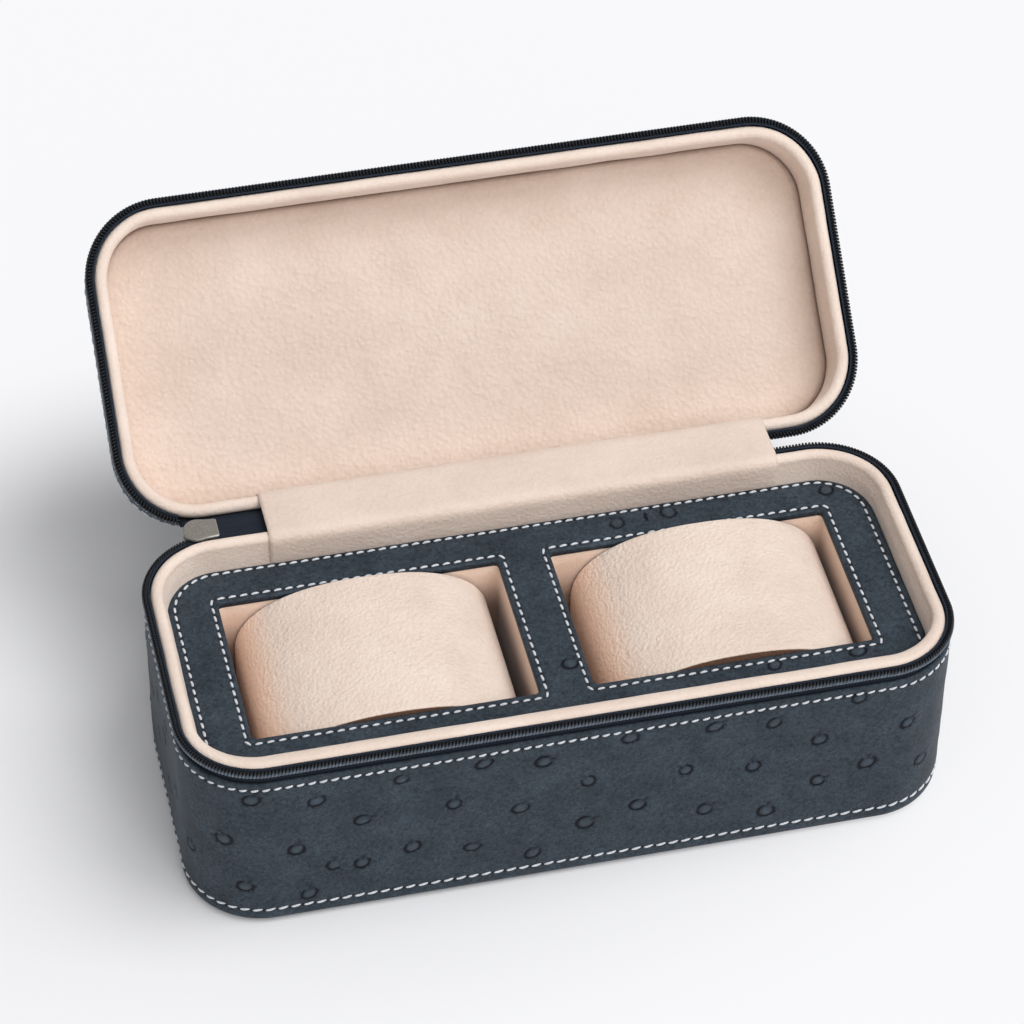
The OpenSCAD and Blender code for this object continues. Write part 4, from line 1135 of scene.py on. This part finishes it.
def joined_coils():
    """Both wires of the joined zip, wound half a pitch apart and meshed on the middle."""
    turns = int((CHAIN_RIGHT - 1.6 - CHAIN_LEFT) / COIL_PITCH)
    phase = np.linspace(0, 2 * math.pi * turns, turns * 10 + 1)
    made = []
    for side in (-1, 1):
        x = CHAIN_LEFT + 0.2 + phase / (2 * math.pi) * COIL_PITCH + (COIL_PITCH / 2 if side > 0 else 0)
        reach, rise = np.cos(phase), np.sin(phase)
        centre = np.stack([x, side * 0.65 + 0.6 * reach, -CHAIN_T / 2 - 0.62 + 0.34 * rise], -1)
        outer = np.stack([x, side * 0.65 + 0.7 * reach, -CHAIN_T / 2 - 0.62 + 0.44 * rise], -1)
        centre, outer = on_chain(centre), on_chain(outer)
        made.append((centre, outer - centre))
    return made


def wing_weave(points):
    """Threads run along the wing, and its height and depth together count as across."""
    x, y, z = points.T
    return {"weave": np.stack([x, y + z, 0 * x], -1)}


chain = [place(joined_tape(), "zip_end", "zip_tape", "zip_joined_end")]
for word, (centre, radial) in zip(("lower", "upper"), joined_coils()):
    coil = wound_wire(centre, radial, 0.25, zip_coil, f"zip_joined_coil_{word}")
    chain.append(place(coil, "zip_end", "zip_coil"))
# Each piece of the joined stretch takes a copy of its mesh for itself.
for made in chain:
    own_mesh(made)

tape_y = HALF_Y - TAPE_IN - TAPE_T / 2
near_edge, far_edge = (tuple(CHAIN_MID + (side * (CHAIN_HALF - 0.3), 0)) for side in (-1, 1))
wings = {
    "base": [(tape_y, 50.5), (tape_y, 55.2), near_edge, (near_edge[0] + 1.2, near_edge[1])],
    "lid": [lid_point(tape_y, 50.5), lid_point(tape_y, 56.3), far_edge],
}
for body, stops in wings.items():
    right = CHAIN_RIGHT - 1.0
    wing, _ = strip(f"{body}_tape_wing", stops, -90.5, right, 0.5, zip_tape, 0.02, wing_weave, 24)
    place(wing, body, "zip_tape")

# ---- Slider, pull and hidden parts ----
# Cast and plated zinc: the slider is two shield-shaped plates on a neck, with a bar for
# the pull, which is left as worked out for the joints. The boards, the foam and the
# lining of the floor are inside and keep plain finishes.


def metal_finish():
    """Dull nickel plate: fine specks in colour, roughness and relief. The worn attribute
    paints a highlight along the edges towards the tail."""
    finish = Finish("slider_metal", Metallic=0.55)
    cloud = finish.noise(2600, 5, Roughness=0.7)
    colour = finish.ramp(cloud, (0.38, srgb(128, 126, 121)), (0.64, srgb(166, 163, 157)))
    colour = finish.mix(finish.attribute("worn"), colour, srgb(236, 236, 238))
    rough = finish.spread(cloud, 0.3, 0.7, 0.42, 0.62)
    finish.tree.links.new(rough, finish.shader.inputs["Roughness"])
    return finish.wear(colour, cloud, 0.3, 0.0001)


def core_finish(name, light, dark, scale, depth):
    """Pressed board or foam: fine specks in colour and relief."""
    finish = Finish(name, Roughness=0.95, Specular_IOR_Level=0.15)
    specks = finish.noise(scale, 6, Roughness=0.7)
    return finish.wear(finish.ramp(specks, (0.35, dark), (0.65, light)), specks, 0.4, depth)


slider_metal = metal_finish()
SLIDER_LEFT, SLIDER_RIGHT, PLATE_T = -90.3, -80.8, 0.85
INNER_PLATE, OUTER_PLATE = 0.775, -1.925
BAR_X, BAR_SPAN, BAR_R, POST_T = -85.1, 3.6, 0.6, 1.1
BAR_YZ = (-0.2, -4.27)


def shield(low):
    """A plate from its nose on the left to its square end. Its half width rises as a
    quarter ellipse, draws in to a waist and widens again; its edges are rounded over."""
    nose, corner = 3.9, 0.6
    end = SLIDER_RIGHT - SLIDER_LEFT - corner
    front = nose * (1 - np.cos(np.linspace(0.12, math.pi / 2, 14)))
    back = end + corner * np.sin(np.linspace(0.3, math.pi / 2, 6))
    x = np.concatenate([front, np.linspace(nose + 0.4, end, 16), back])
    half = 4.1 * np.sqrt(1 - np.maximum(nose - x, 0) ** 2 / nose**2)
    half = np.where(x > nose, np.interp(x, (3.9, 4.8, 6.0, 7.8, 9.5), (4.1, 4.0, 3.65, 3.4, 3.4)), half)
    half -= rounded(corner + end - x, corner)
    t = np.sin(np.linspace(-math.pi / 2, math.pi / 2, 21))
    gx, gy = np.broadcast_to(x[:, None], (len(x), 21)), half[:, None] * t
    edge = np.minimum((1 - abs(t)) * half[:, None], np.minimum(x - x[0], x[-1] - x)[:, None])
    round_over = rounded(edge, 0.25)
    rim = 0.06 * np.exp(-(((edge - 0.55) / 0.22) ** 2))
    points, faces = slab(gx, gy, low + PLATE_T - round_over + rim, low + round_over)
    return points + (SLIDER_LEFT, 0, 0), faces


def block(x, y, z):
    """A box between two values on each axis, with its faces outwards."""
    corners = np.array([(a, b, c) for c in z for b in y for a in x])
    faces = np.array([(0, 2, 3, 1), (4, 5, 7, 6), (0, 1, 5, 4), (2, 6, 7, 3), (0, 4, 6, 2), (1, 3, 7, 5)])
    return corners, faces


def slider():
    """Plates, neck, side flanges that leave a slot for the tape, posts and bar."""
    inner_low, outer_high = INNER_PLATE, OUTER_PLATE + PLATE_T
    parts = [shield(INNER_PLATE), shield(OUTER_PLATE)]
    parts.append(block((SLIDER_LEFT + 0.5, SLIDER_LEFT + 3.4), (-1, 1), (outer_high - 0.1, inner_low + 0.1)))
    for side in (-1, 1):
        y = sorted((side * 2.5, side * 3.2))
        parts.append(block((BAR_X, SLIDER_RIGHT - 0.5), y, (outer_high - 0.1, -0.4)))
        parts.append(block((BAR_X, SLIDER_RIGHT - 0.5), y, (0.4, inner_low + 0.1)))
        x = sorted(BAR_X + side * np.array([BAR_SPAN / 2, BAR_SPAN / 2 + POST_T]))
        y, z = (BAR_YZ[0] - BAR_R, BAR_YZ[0] + BAR_R), (BAR_YZ[1] - BAR_R, OUTER_PLATE + 0.3)
        parts.append(block(x, y, z))
    across, up = BAR_YZ[0] + BAR_R * np.cos(circle(16)), BAR_YZ[1] + BAR_R * np.sin(circle(16))
    ends = BAR_X + np.array([-1, 1])[:, None] * (BAR_SPAN / 2 + 0.3)
    bar = np.stack([ends + 0 * across, across + 0 * ends, up + 0 * ends], -1).reshape(-1, 3)
    parts.append((bar, grid(2, 16, close_cols=True)[:, ::-1]))
    points, faces, count = [], [], 0
    for corners, polygons in parts:
        faces.append(polygons + count)
        points.append(corners)
        count += len(corners)
    caps = count - 32 + np.stack([np.arange(16)[::-1], np.arange(16, 32)])
    points, faces = np.concatenate(points), [np.concatenate(faces), caps]
    # Painted highlight: a pale band on the rounded edges of the inner plate, towards its tail.
    below_top = INNER_PLATE + PLATE_T - points[:, 2]
    worn = np.clip((below_top - 0.03) / 0.1, 0, 1) * (below_top < 0.5)
    worn *= np.clip((points[:, 0] - SLIDER_LEFT - 5.5) / 2, 0, 1)
    return piece("slider_casting", on_chain(points), faces, slider_metal, worn=worn)


def soft_edges(made):
    """Rounds the sharp edges of a cast part by 0.18 mm."""
    soft = made.modifiers.new("soft_edges", "BEVEL")
    soft.width, soft.segments, soft.limit_method = 0.00018, 2, "ANGLE"
    return soft


soft_edges(place(slider(), "zip_slider", "slider_metal", "slider_body"))
greyboard = core_finish("greyboard", srgb(152, 144, 132), srgb(132, 124, 113), 700, 0.0002)
foam = core_finish("foam", srgb(206, 203, 195), srgb(188, 185, 176), 1100, 0.0004)
kept_nodes = {
    slider_metal: ("pull_link", "tab_pin", "pull_tab", "zip_bottom_stop"),
    greyboard: (
        "base_bottom_board", "base_wall_board", "insert_board", "insert_skirt",
        "lid_top_board", "lid_wall_board",
    ),
    foam: ("lid_foam",),
    rim_suede: ("base_lining_floor",),
}  # fmt: skip
for material, names in kept_nodes.items():
    for name in names:
        node = bpy.data.objects[name]
        node.data.materials.clear()
        node.data.materials.append(material)
        if material is slider_metal:
            node.modifiers.new("weld", "WELD").merge_threshold = 1e-5
            soft_edges(node).harden_normals = True
